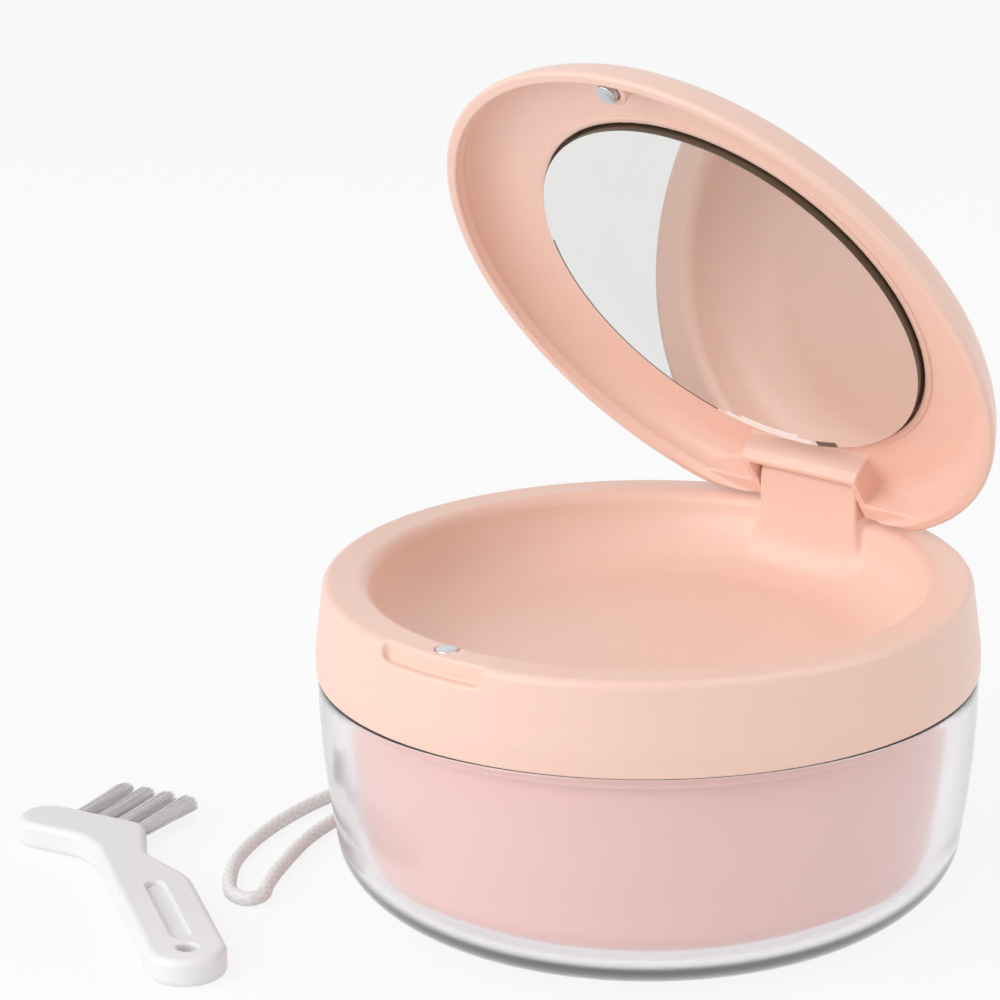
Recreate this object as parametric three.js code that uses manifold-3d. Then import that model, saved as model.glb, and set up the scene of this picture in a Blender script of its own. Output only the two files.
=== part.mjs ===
// Retainer cleaning case: a double walled soaking tank, a screw-on collar with a shallow dish,
// a hinged lid with a mirror, a wrist strap on the hinge eyelet, and a small cleaning brush.
// Millimetres, Z up. The origin is the centre of the tank's flat underside. The lid hinges on
// the +Y side and opens from the -Y side, where the thumb notch and the magnets are.
import * as THREE from 'three';
import { mergeVertices } from 'three/addons/utils/BufferGeometryUtils.js';
import Module from 'manifold-3d';

const wasm = await Module();
wasm.setup();
const { Manifold, Mesh: SolidMesh } = wasm;

// Facet counts
const roundSides = 48;
const smallSides = 20;
const cordSides = 8;
const strandSides = 3;

// Clearances shared by neighbouring pieces
const gap = 0.3;
const overrun = 1;
const bite = 0.4;

// Soaking tank: clear outer bowl
const collarRadius = 44.5;
const bowl = {
  baseRadius: 21.8,
  shoulderRadius: 42.3,
  shoulderHeight: 11.8,
  mouthInset: 0.2,
  height: 33.8,
  wall: 1.6,
  floor: 2.2,
  lip: 0.4,
};
bowl.mouthRadius = collarRadius - bowl.mouthInset;
bowl.innerMouthRadius = bowl.mouthRadius - bowl.wall;

// Collar: skirt, rim land and dish in one moulding
const collar = {
  skirtWall: 2.2,
  bottomRound: 0.35,
  waistHeight: 3.2,
  taper: 1,
  shoulderRound: 1.2,
  deckThickness: 3.9,
  rimWidth: 7.3,
  rimEdge: 0.8,
  notchWidth: 17.6,
  notchHeight: 2.5,
  notchDepth: 0.8,
};
collar.bottom = bowl.height + gap;
collar.skirtRadius = collarRadius - collar.skirtWall;

// Four-start screw thread between the liner's neck and the collar's skirt
const thread = {
  starts: 4,
  lead: 12,
  sweep: THREE.MathUtils.degToRad(78),
  depth: 0.95,
  clearance: 0.35,
  rootWidth: 1.1,
  crestWidth: 0.7,
  firstHeight: 2.8,
  steps: 8,
};
thread.pitch = thread.lead / thread.starts;

// Soaking tank: coloured inner liner with the threaded neck
const liner = {
  wall: 1.8,
  airGap: 2.4,
  baseInset: 3,
  flangeThickness: 1.8,
  neckWall: 1.8,
  neckRise: 6.6,
  neckTaper: 2.8,
  neckEdge: 0.4,
};
liner.outerInset = bowl.wall + liner.airGap;
liner.innerInset = liner.outerInset + liner.wall;
liner.baseRadius = bowl.baseRadius - liner.baseInset;
liner.bottom = bowl.floor + gap;
liner.flangeRadius = bowl.innerMouthRadius - gap;
liner.neckRadius = collar.skirtRadius - thread.depth - thread.clearance;
liner.neckInnerRadius = liner.neckRadius - liner.neckWall;
liner.neckTop = collar.bottom + liner.neckRise;

// Silicone seal between the neck's top and the collar's deck
const seal = { thickness: 1.4, bead: 0.5 };
seal.bottom = liner.neckTop + gap;
seal.top = seal.bottom + seal.thickness;
collar.deck = seal.top + gap;
collar.land = collar.deck + collar.deckThickness;

// Dish in the collar
const dish = { depth: 9.6, wall: 1.8, sweepWidth: 9.4 };
dish.mouthRadius = collarRadius - collar.rimWidth;
dish.wallTopRadius = dish.mouthRadius - gap;
dish.floorRadius = dish.wallTopRadius - dish.sweepWidth;
dish.floor = collar.land - dish.depth;
dish.sweepTop = collar.land - collar.rimEdge - gap;

// Hinge: block and knuckle on the collar, ears on the lid, steel pin
const hinge = {
  inset: 7.2,
  pinRise: 4,
  pinRadius: 1,
  knuckleRadius: 2.8,
  knuckleWidth: 16.8,
  sideGap: 0.35,
  earWidth: 1.55,
  pinEndWall: 0.6,
  heelGap: 0.2,
  blockRootDepth: 7.4,
  blockRootWidth: 0.6,
  blockBack: 0.3,
  deckRise: 0.5,
  backSlope: THREE.MathUtils.degToRad(15),
};
hinge.y = collarRadius - hinge.inset;
hinge.z = collar.land + hinge.pinRise;
hinge.blockFront = hinge.y - hinge.knuckleRadius;
hinge.blockBackRadius = collarRadius + hinge.blockBack;
hinge.notchWidth = hinge.knuckleWidth + 2 * hinge.sideGap;
hinge.earOuter = hinge.notchWidth / 2 + hinge.earWidth;
hinge.pinLength = 2 * (hinge.earOuter - hinge.pinEndWall);
hinge.boreRadius = hinge.pinRadius + gap;

// Strap eyelet on the hinge block
const eyelet = {
  reach: 8.9,
  thickness: 2.6,
  rootWidth: 16,
  tipWidth: 15.2,
  tipRise: 4.6,
  holeWidth: 7.1,
  holeHeight: 3.6,
  holeInset: 2.8,
  drop: 1,
};
eyelet.tip = collarRadius + eyelet.reach;
eyelet.top = hinge.z + eyelet.drop;
eyelet.middle = eyelet.top - eyelet.thickness / 2;
eyelet.holeY = eyelet.tip - eyelet.holeInset - eyelet.holeHeight / 2;

// Magnet pair at the front
const magnet = { radius: 1.5, thickness: 2, inset: 4.9, proud: 0.2, bossWall: 1 };
magnet.y = -(collarRadius - magnet.inset);

// Mirror, held in the lid by double sided tape
const mirror = { radius: 29.5, thickness: 1.8, depth: 3.8, tapeThickness: 0.4, tapeInset: 2.5 };

// Lid: one moulding, described as it lies when closed
const lid = {
  inset: 1.65,
  landWidth: 1.25,
  edgeRound: 0.4,
  plate: 2.2,
  innerDepth: 5.2,
  lipWidth: 1,
  lipRise: 0.35,
  wallFillet: 4,
  wallDraft: 0.4,
  topRadius: 31,
  topEdge: 0.5,
  topStep: 1.1,
  grooveDrop: 1.25,
  chordInset: 2.3,
  padDepth: 2.9,
  padWidth: 36,
  hoodDepth: 6.3,
  hoodWall: 1.2,
  openAngle: THREE.MathUtils.degToRad(56.7),
};
lid.radius = collarRadius - lid.inset;
lid.land = collar.land + gap;
lid.innerFace = lid.land + lid.innerDepth;
lid.mirrorFace = lid.land + mirror.depth;
lid.pocketRadius = mirror.radius + gap;
lid.pocketFloor = lid.mirrorFace + mirror.thickness + gap + mirror.tapeThickness + gap;
lid.top = lid.pocketFloor + lid.plate;
lid.chordY = hinge.y + lid.chordInset;

// The lid's back from its side up to the groove: insets from the collar's radius and rises
const lidBack = [
  [1.7, 0.9],
  [2, 1.5],
  [2.4, 2.3],
  [2.9, 3.3],
  [3.6, 4.2],
  [4.5, 5.2],
  [6.7, 6.5],
  [9.7, 7.4],
  [11.7, 7.7],
];

// Wrist strap: thin tether, moulded bead and wrist loop
const strap = {
  tetherRadius: 0.5,
  hitchRadius: 0.55,
  knotRadius: 1.5,
  loopRadius: 1,
  beadLength: 25.3,
  beadHoleDepth: 2,
};
const bead = {
  endRadius: 2.6,
  upperRadius: 4.1,
  bulgeRadius: 5.8,
  lowerRadius: 4.35,
  lowerShare: 0.33,
  bulgeShare: 0.54,
  upperShare: 0.8,
  roundShare: 0.08,
};
const tetherPath = [
  [0, 57.3, 50.3],
  [0.5, 60.1, 48.8],
  [0.3, 61.7, 44],
  [-0.9, 61.8, 37],
  [-2.7, 60.7, 30.5],
  [-5.3, 59, 23.3],
];
const beadStart = new THREE.Vector3(-5.6, 58.9, 22.8);
const beadEnd = new THREE.Vector3(-21.8, 57, 3.4);
const loopPath = [
  [-22.2, 58.1, 3],
  [-23.1, 57.8, 2],
  [-27.4, 54.7, 1.1],
  [-35, 47.5, 1.1],
  [-43.3, 38.2, 1.1],
  [-51.4, 26, 1.1],
  [-56.5, 12.3, 1.1],
  [-58.1, -2.3, 1.1],
  [-55.8, -16.9, 1.1],
  [-50.9, -28.6, 1.1],
  [-45.6, -35.2, 1.1],
  [-42.4, -37.7, 1.1],
  [-39.6, -37.6, 1.1],
  [-39.2, -35.3, 1.1],
  [-41.4, -32, 1.1],
  [-45, -25.3, 1.1],
  [-49.4, -15, 1.1],
  [-51.8, -2.1, 1.1],
  [-51, 11.1, 1.1],
  [-46.9, 23.8, 1.1],
  [-40.1, 35.4, 1.1],
  [-32.9, 44.6, 1.1],
  [-26.1, 52.2, 1.1],
  [-22.7, 55.6, 2],
  [-22, 55.8, 3],
];
const tetherSteps = 14;
const loopSteps = 70;

// Cleaning brush, drawn lying flat with its handle along +X and its bristles towards -Y
const brush = {
  handleWidth: 10.7,
  thickness: 4,
  handleLength: 29.5,
  neckWidth: 6.9,
  neckStart: 38.7,
  neckEnd: 41,
  headStart: 50.5,
  headLip: 1.65,
  headWidth: 14,
  headDepth: 8.4,
  backStart: 44,
  backEnd: 5.6,
  holeRadius: 1.35,
  holeInset: 4.8,
  grooveStart: 8,
  grooveLength: 20.5,
  grooveWidth: 2.6,
  grooveDepth: 0.7,
  x: -25.2,
  y: -61.8,
  headAngle: THREE.MathUtils.degToRad(45),
  layAngle: THREE.MathUtils.degToRad(147),
};
const tuft = {
  count: 4,
  pitch: 3.6,
  rows: 9,
  rowLength: 9,
  strandSpacing: 0.25,
  strandRadius: 0.09,
  length: 13.6,
  flareShare: 0.35,
  backing: 0.9,
  backingWidth: 2.8,
  backingHeight: 2,
};

const finishes = {
  shell: new THREE.MeshStandardMaterial({ color: 0xf3c9b7, roughness: 0.38, metalness: 0 }),
  clear: new THREE.MeshStandardMaterial({ color: 0xe9e8ec, roughness: 0.08, metalness: 0 }),
  liner: new THREE.MeshStandardMaterial({ color: 0xf0cdc9, roughness: 0.4, metalness: 0 }),
  silicone: new THREE.MeshStandardMaterial({ color: 0xe8e6e4, roughness: 0.7, metalness: 0 }),
  steel: new THREE.MeshStandardMaterial({ color: 0xc4c6c8, roughness: 0.25, metalness: 1 }),
  glass: new THREE.MeshStandardMaterial({ color: 0xdfe3e4, roughness: 0.03, metalness: 1 }),
  tape: new THREE.MeshStandardMaterial({ color: 0x4a4a4c, roughness: 0.9, metalness: 0 }),
  cord: new THREE.MeshStandardMaterial({ color: 0xf4f4f4, roughness: 0.85, metalness: 0 }),
  white: new THREE.MeshStandardMaterial({ color: 0xf1f1f2, roughness: 0.35, metalness: 0 }),
  nylon: new THREE.MeshStandardMaterial({ color: 0xf7f7f7, roughness: 0.5, metalness: 0 }),
};

// Closed solid from a three.js geometry, without its collapsed triangles
function toSolid(source) {
  const bare = source.clone();
  bare.deleteAttribute('normal');
  bare.deleteAttribute('uv');
  const merged = mergeVertices(bare);
  const index = merged.index.array;
  const faces = [];
  for (let i = 0; i < index.length; i += 3) {
    const [a, b, c] = [index[i], index[i + 1], index[i + 2]];
    if (a !== b && b !== c && c !== a) faces.push(a, b, c);
  }
  return new Manifold(new SolidMesh({
    numProp: 3,
    vertProperties: new Float32Array(merged.attributes.position.array),
    triVerts: new Uint32Array(faces),
  }));
}

function toGeometry(solid) {
  const { numProp, vertProperties, triVerts } = solid.getMesh();
  const positions = new Float32Array((vertProperties.length / numProp) * 3);
  for (let i = 0; i < positions.length / 3; i += 1) {
    positions.set(vertProperties.subarray(i * numProp, i * numProp + 3), i * 3);
  }
  const geometry = new THREE.BufferGeometry();
  geometry.setAttribute('position', new THREE.BufferAttribute(positions, 3));
  geometry.setIndex(new THREE.BufferAttribute(new Uint32Array(triVerts), 1));
  geometry.computeVertexNormals();
  return geometry;
}

function namedMesh(name, solid, material) {
  const mesh = new THREE.Mesh(toGeometry(solid), material);
  mesh.name = name;
  return mesh;
}

// Points on an ellipse arc, both ends included
function arc(centreX, centreY, radiusX, radiusY, fromDegrees, toDegrees, steps) {
  const points = [];
  for (let i = 0; i <= steps; i += 1) {
    const angle = THREE.MathUtils.degToRad(fromDegrees + ((toDegrees - fromDegrees) * i) / steps);
    points.push([centreX + radiusX * Math.cos(angle), centreY + radiusY * Math.sin(angle)]);
  }
  return points;
}

// Solid of revolution about Z from [radius, height] points that run up the outside
function revolve(profile, sides = roundSides) {
  const points = profile.map(([radius, height]) => new THREE.Vector2(radius, height));
  const geometry = new THREE.LatheGeometry(points, sides);
  geometry.rotateX(Math.PI / 2);
  return toSolid(geometry);
}

function flatShape(points) {
  return new THREE.Shape(points.map(([x, y]) => new THREE.Vector2(x, y)));
}

// Plate with an outline in X and Y, from one height up to another
function plate(points, fromZ, toZ) {
  const geometry = new THREE.ExtrudeGeometry(flatShape(points), {
    depth: toZ - fromZ,
    bevelEnabled: false,
  });
  geometry.translate(0, 0, fromZ);
  return toSolid(geometry);
}

// Bar with an outline in Y and Z, centred on X
function barAlongX(points, width) {
  const geometry = new THREE.ExtrudeGeometry(flatShape(points), {
    depth: width,
    bevelEnabled: false,
  });
  geometry.translate(0, 0, -width / 2);
  geometry.applyMatrix4(new THREE.Matrix4().makeBasis(
    new THREE.Vector3(0, 1, 0),
    new THREE.Vector3(0, 0, 1),
    new THREE.Vector3(1, 0, 0),
  ));
  return toSolid(geometry);
}

function box(fromX, toX, fromY, toY, fromZ, toZ) {
  const geometry = new THREE.BoxGeometry(toX - fromX, toY - fromY, toZ - fromZ);
  geometry.translate((fromX + toX) / 2, (fromY + toY) / 2, (fromZ + toZ) / 2);
  return toSolid(geometry);
}

// Cylinder standing on Z at a place in X and Y
function post(radius, x, y, fromZ, toZ, sides = smallSides) {
  const geometry = new THREE.CylinderGeometry(radius, radius, toZ - fromZ, sides);
  geometry.rotateX(Math.PI / 2);
  geometry.translate(x, y, (fromZ + toZ) / 2);
  return toSolid(geometry);
}

// Cylinder lying along X on the hinge axis
function axleSolid(radius, length, centreX = 0) {
  const geometry = new THREE.CylinderGeometry(radius, radius, length, smallSides);
  geometry.rotateZ(Math.PI / 2);
  geometry.translate(centreX, hinge.y, hinge.z);
  return toSolid(geometry);
}

// Solid through a row of equal closed sections
function loft(sections) {
  const count = sections[0].length;
  const positions = sections.flat().flatMap((point) => [point.x, point.y, point.z]);
  const faces = [];
  for (let row = 0; row < sections.length - 1; row += 1) {
    for (let i = 0; i < count; i += 1) {
      const next = (i + 1) % count;
      const [a, b] = [row * count + i, row * count + next];
      faces.push(a, b, b + count, a, b + count, a + count);
    }
  }
  const last = (sections.length - 1) * count;
  for (let i = 1; i < count - 1; i += 1) {
    faces.push(0, i + 1, i);
    faces.push(last, last + i, last + i + 1);
  }
  const geometry = new THREE.BufferGeometry();
  geometry.setAttribute('position', new THREE.Float32BufferAttribute(positions, 3));
  geometry.setIndex(faces);
  return toSolid(geometry);
}

// Round cord along hand-chosen points
function cordSolid(points, radius, steps) {
  const path = new THREE.CatmullRomCurve3(points.map((point) => new THREE.Vector3(...point)));
  const section = new THREE.Shape();
  section.absarc(0, 0, radius, 0, 2 * Math.PI, false);
  const geometry = new THREE.ExtrudeGeometry(section, {
    steps,
    curveSegments: cordSides / 2,
    extrudePath: path,
    bevelEnabled: false,
  });
  return toSolid(geometry);
}

// One ridge of the screw thread, on the outside of the neck or the inside of the skirt
function threadRidge(rootRadius, crestRadius, startAngle, startHeight) {
  const sections = [];
  const inward = crestRadius < rootRadius;
  for (let i = 0; i <= thread.steps; i += 1) {
    const turn = (thread.sweep * i) / thread.steps;
    const height = startHeight + (thread.lead * turn) / (2 * Math.PI);
    const around = (radius, z) => new THREE.Vector3(
      radius * Math.cos(startAngle + turn),
      radius * Math.sin(startAngle + turn),
      z,
    );
    const corners = [
      around(rootRadius, height - thread.rootWidth / 2),
      around(rootRadius, height + thread.rootWidth / 2),
      around(crestRadius, height + thread.crestWidth / 2),
      around(crestRadius, height - thread.crestWidth / 2),
    ];
    sections.push(inward ? corners.reverse() : corners);
  }
  return loft(sections);
}

function threadRidges(rootRadius, crestRadius, startHeight) {
  const ridges = [];
  for (let i = 0; i < thread.starts; i += 1) {
    const startAngle = (2 * Math.PI * i) / thread.starts;
    ridges.push(threadRidge(rootRadius, crestRadius, startAngle, startHeight));
  }
  return Manifold.union(ridges);
}

// Radius of the bowl's outer wall between its shoulder and its mouth
function bowlWallRadius(share) {
  const eased = 1 - (1 - share) ** 2;
  return bowl.shoulderRadius + (bowl.mouthRadius - bowl.shoulderRadius) * eased;
}

function bowlWall(inset, fromShare, toShare, steps, top) {
  const points = [];
  for (let i = 1; i <= steps; i += 1) {
    const share = fromShare + ((toShare - fromShare) * i) / steps;
    const height = bowl.shoulderHeight + (top - bowl.shoulderHeight) * share;
    points.push([bowlWallRadius(share) - inset, height]);
  }
  return points;
}

function makeOuterBowl() {
  const shoulderWidth = bowl.shoulderRadius - bowl.baseRadius;
  const innerSweep = arc(
    bowl.baseRadius,
    bowl.shoulderHeight,
    shoulderWidth - bowl.wall,
    bowl.shoulderHeight - bowl.floor,
    0,
    -90,
    5,
  );
  return revolve([
    [0, 0],
    ...arc(bowl.baseRadius, bowl.shoulderHeight, shoulderWidth, bowl.shoulderHeight, -90, 0, 6),
    ...bowlWall(0, 0, 1, 3, bowl.height - bowl.lip),
    [bowl.mouthRadius - bowl.lip, bowl.height],
    [bowl.innerMouthRadius, bowl.height],
    ...bowlWall(bowl.wall, 1, 0, 3, bowl.height - bowl.lip),
    ...innerSweep.slice(1),
    [0, bowl.floor],
  ]);
}

// The liner's wall runs beside the bowl's, an air gap away
function makeInnerLiner() {
  const sweepWidth = bowl.shoulderRadius - liner.outerInset - liner.baseRadius;
  const sweepRise = bowl.shoulderHeight - liner.bottom;
  const flangeBottom = bowl.height - liner.flangeThickness;
  const taperBottom = bowl.height - liner.neckTaper;
  const innerSweep = arc(
    liner.baseRadius,
    bowl.shoulderHeight,
    sweepWidth - liner.wall,
    sweepRise - liner.wall,
    0,
    -90,
    5,
  );
  const body = revolve([
    [0, liner.bottom],
    ...arc(liner.baseRadius, bowl.shoulderHeight, sweepWidth, sweepRise, -90, 0, 6),
    ...bowlWall(liner.outerInset, 0, 1, 3, flangeBottom),
    [liner.flangeRadius, flangeBottom],
    [liner.flangeRadius, bowl.height],
    [liner.neckRadius, bowl.height],
    [liner.neckRadius, liner.neckTop - liner.neckEdge],
    [liner.neckRadius - liner.neckEdge, liner.neckTop],
    [liner.neckInnerRadius, liner.neckTop],
    [liner.neckInnerRadius, bowl.height],
    [bowl.mouthRadius - liner.innerInset, taperBottom],
    ...bowlWall(liner.innerInset, 1, 0, 3, taperBottom),
    ...innerSweep.slice(1),
    [0, liner.bottom + liner.wall],
  ]);
  const ridgeStart = collar.bottom + thread.firstHeight;
  const ridges = threadRidges(
    liner.neckRadius - bite,
    liner.neckRadius + thread.depth,
    ridgeStart,
  );
  return body.add(ridges);
}

function makeSealRing() {
  return revolve([
    [liner.neckInnerRadius, seal.bottom],
    [liner.neckRadius, seal.bottom],
    [liner.neckRadius + seal.bead, (seal.bottom + seal.top) / 2],
    [liner.neckRadius, seal.top],
    [liner.neckInnerRadius, seal.top],
    [liner.neckInnerRadius, seal.bottom],
  ]);
}

function collarRevolve() {
  const outerWidth = dish.sweepWidth + dish.wall;
  const outerRise = dish.sweepTop - dish.floor + dish.wall;
  const deckShare = (dish.sweepTop - collar.deck) / outerRise;
  const deckDegrees = -THREE.MathUtils.radToDeg(Math.asin(deckShare));
  const topRadius = collarRadius - collar.taper;
  const shoulderRadius = topRadius - collar.shoulderRound;
  const shoulderHeight = collar.land - collar.shoulderRound;
  return revolve([
    [0, dish.floor - dish.wall],
    ...arc(dish.floorRadius, dish.sweepTop, outerWidth, outerRise, -90, deckDegrees, 5),
    [collar.skirtRadius, collar.deck],
    [collar.skirtRadius, collar.bottom],
    ...arc(
      collarRadius - collar.bottomRound,
      collar.bottom + collar.bottomRound,
      collar.bottomRound,
      collar.bottomRound,
      -90,
      0,
      3,
    ),
    [collarRadius, collar.bottom + collar.waistHeight],
    ...arc(
      shoulderRadius,
      shoulderHeight,
      collar.shoulderRound,
      collar.shoulderRound,
      0,
      90,
      4,
    ),
    ...arc(
      dish.mouthRadius + collar.rimEdge,
      collar.land - collar.rimEdge,
      collar.rimEdge,
      collar.rimEdge,
      90,
      180,
      2,
    ),
    ...arc(
      dish.floorRadius,
      dish.sweepTop,
      dish.sweepWidth,
      dish.sweepTop - dish.floor,
      0,
      -90,
      6,
    ),
    [0, dish.floor],
  ]);
}

// Hinge block: rises from the dish wall, rounds over the pin and slopes back to the eyelet
function hingeBlock() {
  const backDegrees = 90 - THREE.MathUtils.radToDeg(hinge.backSlope);
  const slopeRun = hinge.blockBackRadius - hinge.y;
  const slopeDrop = slopeRun * Math.tan(hinge.backSlope);
  const rootTop = collar.deck + hinge.deckRise;
  const outline = [
    [hinge.blockFront, collar.land - hinge.blockRootDepth],
    [hinge.blockFront + hinge.blockRootWidth, collar.land - hinge.blockRootDepth],
    [hinge.blockFront + hinge.knuckleRadius, rootTop],
    [hinge.blockBackRadius, rootTop],
    [hinge.blockBackRadius, hinge.z + hinge.knuckleRadius - slopeDrop],
    ...arc(hinge.y, hinge.z, hinge.knuckleRadius, hinge.knuckleRadius, backDegrees, 180, 6),
  ];
  const drumTop = hinge.z + 2 * hinge.knuckleRadius;
  const drum = post(hinge.blockBackRadius, 0, 0, dish.floor, drumTop, roundSides);
  return barAlongX(outline, hinge.knuckleWidth).intersect(drum);
}

function eyeletTab() {
  const tipStart = eyelet.tip - eyelet.tipRise;
  const outline = [
    [-eyelet.rootWidth / 2, hinge.y + hinge.pinRadius + bite],
    [eyelet.rootWidth / 2, hinge.y + hinge.pinRadius + bite],
    [eyelet.rootWidth / 2, collarRadius],
    ...arc(0, tipStart, eyelet.tipWidth / 2, eyelet.tipRise, 0, 180, 12),
    [-eyelet.rootWidth / 2, collarRadius],
  ];
  const tab = plate(outline, eyelet.top - eyelet.thickness, eyelet.top);
  const endRadius = eyelet.holeHeight / 2;
  const endOffset = eyelet.holeWidth / 2 - endRadius;
  const hole = plate([
    ...arc(endOffset, eyelet.holeY, endRadius, endRadius, -90, 90, 6),
    ...arc(-endOffset, eyelet.holeY, endRadius, endRadius, 90, 270, 6),
  ], eyelet.top - eyelet.thickness - overrun, eyelet.top + overrun);
  return tab.subtract(hole);
}

// Ledge cut into the rim's front, its wall following the rim
function thumbNotch() {
  const wallRadius = collarRadius - collar.taper - collar.notchDepth;
  const floor = collar.land - collar.notchHeight;
  const outerRadius = collarRadius + overrun;
  const top = collar.land + overrun;
  const ring = revolve([
    [wallRadius, floor],
    [outerRadius, floor],
    [outerRadius, top],
    [wallRadius, top],
    [wallRadius, floor],
  ]);
  const halfWidth = collar.notchWidth / 2;
  return ring.intersect(box(-halfWidth, halfWidth, -outerRadius, 0, floor, top));
}

function makeCollar() {
  const magnetPocket = post(
    magnet.radius + gap,
    0,
    magnet.y,
    collar.land - magnet.thickness - gap,
    collar.land + overrun,
  );
  const ridges = threadRidges(
    collar.skirtRadius + bite,
    collar.skirtRadius - thread.depth,
    collar.bottom + thread.firstHeight - thread.pitch / 2,
  );
  const bore = axleSolid(hinge.boreRadius, hinge.knuckleWidth + 2 * overrun);
  return collarRevolve()
    .add(hingeBlock())
    .subtract(bore)
    .add(eyeletTab())
    .add(ridges)
    .subtract(thumbNotch())
    .subtract(magnetPocket);
}

function makeCollarMagnet() {
  return post(magnet.radius, 0, magnet.y, collar.land - magnet.thickness, collar.land);
}

// Outside of the lid, from its land up over the side and the groove to the flat top
function lidOutside() {
  return [
    [lid.radius - lid.edgeRound, lid.land],
    [lid.radius, lid.land + lid.edgeRound],
    ...lidBack.map(([inset, rise]) => [collarRadius - inset, lid.land + rise]),
    [lid.topRadius + lid.topStep, lid.top - lid.grooveDrop],
    [lid.topRadius + lid.topEdge, lid.top - lid.topEdge],
    [lid.topRadius, lid.top],
    [0, lid.top],
  ];
}

function lidRevolve() {
  const lipEnd = lid.innerFace - lid.lipRise;
  const lipRadius = lid.pocketRadius + lid.lipWidth;
  const landInner = lid.radius - lid.edgeRound - lid.landWidth;
  const filletRadius = landInner - lid.wallDraft - lid.wallFillet;
  return revolve([
    [0, lid.pocketFloor],
    [lid.pocketRadius, lid.pocketFloor],
    [lid.pocketRadius, lipEnd],
    [lipRadius, lipEnd],
    [lipRadius, lid.innerFace],
    ...arc(filletRadius, lid.innerFace - lid.wallFillet, lid.wallFillet, lid.wallFillet, 90, 0, 4),
    [landInner, lid.land],
    ...lidOutside(),
  ]);
}

// Solid parts inside the lid: magnet boss, pad and hood, cut to the lid's outside
function lidFittings(hoodFront) {
  const bossRadius = magnet.radius + magnet.bossWall;
  const boss = post(bossRadius, 0, magnet.y, lid.land + magnet.proud, lid.innerFace + bite);
  const pad = box(
    -lid.padWidth / 2,
    lid.padWidth / 2,
    lid.chordY - lid.padDepth,
    lid.chordY,
    lid.land,
    lid.top,
  );
  const hood = box(
    -hinge.earOuter,
    hinge.earOuter,
    hoodFront,
    lid.chordY,
    lid.land,
    lid.top,
  );
  const outside = revolve([[0, lid.land], ...lidOutside()]);
  return boss.add(pad).add(hood).intersect(outside);
}

// Lid moulding with the notch, pin holes and rounded heel of its hinge
function makeLidShell() {
  const hoodFront = hinge.y - lid.hoodDepth;
  const behindChord = box(
    -collarRadius,
    collarRadius,
    lid.chordY,
    collarRadius + overrun,
    lid.land - overrun,
    lid.top + overrun,
  );
  const notch = box(
    -hinge.notchWidth / 2,
    hinge.notchWidth / 2,
    hoodFront + lid.hoodWall,
    collarRadius,
    lid.land - overrun,
    lid.top + overrun,
  );
  const heelRadius = hinge.pinRise - hinge.heelGap;
  const heel = box(
    -collarRadius,
    collarRadius,
    hinge.y,
    collarRadius,
    lid.land - overrun,
    hinge.z,
  ).subtract(axleSolid(heelRadius, 2 * collarRadius));
  const pinHoles = axleSolid(hinge.boreRadius, hinge.pinLength + 2 * gap);
  const magnetPocket = post(
    magnet.radius + gap,
    0,
    magnet.y,
    lid.land - overrun,
    lid.land + magnet.thickness + gap,
  );
  return lidRevolve()
    .add(lidFittings(hoodFront))
    .subtract(behindChord)
    .subtract(notch)
    .subtract(heel)
    .subtract(pinHoles)
    .subtract(magnetPocket);
}

function makeLidMagnet() {
  return post(magnet.radius, 0, magnet.y, lid.land, lid.land + magnet.thickness);
}

function disc(radius, fromZ, toZ) {
  return post(radius, 0, 0, fromZ, toZ, roundSides);
}

function makeTape() {
  const bottom = lid.mirrorFace + mirror.thickness + gap;
  return disc(mirror.radius - mirror.tapeInset, bottom, bottom + mirror.tapeThickness);
}

// Hitch round the eyelet's outer bar, with the knot that the tether leaves from
function makeStrapKnot() {
  const barY = eyelet.tip - eyelet.holeInset / 2;
  const halfDiagonal = Math.hypot(eyelet.holeInset, eyelet.thickness) / 2;
  const ringRadius = halfDiagonal + gap + strap.hitchRadius;
  const ring = new THREE.TorusGeometry(ringRadius, strap.hitchRadius, cordSides, smallSides);
  ring.rotateY(Math.PI / 2);
  ring.translate(0, barY, eyelet.middle);
  const knot = new THREE.SphereGeometry(strap.knotRadius, 12, 8);
  knot.translate(0, barY + ringRadius + strap.knotRadius / 2, eyelet.middle);
  return toSolid(ring).add(toSolid(knot));
}

// Moulded bead along its own Z, from its tether end up to its loop end
function makeBead() {
  const length = strap.beadLength;
  const round = length * bead.roundShare;
  const bore = strap.tetherRadius + gap;
  return revolve([
    [0, strap.beadHoleDepth],
    [bore, strap.beadHoleDepth],
    [bore, 0],
    [bead.endRadius, 0],
    [bead.lowerRadius, round],
    [bead.lowerRadius, length * bead.lowerShare],
    [bead.bulgeRadius, length * bead.bulgeShare - round],
    [bead.bulgeRadius, length * bead.bulgeShare + round],
    [bead.upperRadius, length * bead.upperShare],
    [bead.upperRadius, length - round],
    [bead.endRadius, length],
    [0, length],
  ], smallSides);
}

// Place in the brush's head: along its slanted face and back from it
function headPoint(along, back) {
  const lipY = brush.neckWidth - brush.handleWidth / 2 + brush.headLip;
  const [c, s] = [Math.cos(brush.headAngle), Math.sin(brush.headAngle)];
  return [brush.headStart + along * c - back * s, -lipY + along * s + back * c];
}

function brushOutline() {
  const half = brush.handleWidth / 2;
  const neckEdge = half - brush.neckWidth;
  const headRadius = brush.headDepth / 2;
  const [capX, capY] = headPoint(brush.headWidth, headRadius);
  const headDegrees = THREE.MathUtils.radToDeg(brush.headAngle);
  return [
    ...arc(half, 0, half, half, 90, 270, 8),
    [brush.handleLength, -half],
    [brush.neckStart, neckEdge],
    [brush.neckEnd, neckEdge],
    headPoint(0, 0),
    ...arc(capX, capY, headRadius, headRadius, headDegrees - 90, headDegrees + 90, 6),
    headPoint(brush.backEnd, brush.headDepth),
    [brush.backStart, half],
  ];
}

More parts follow.
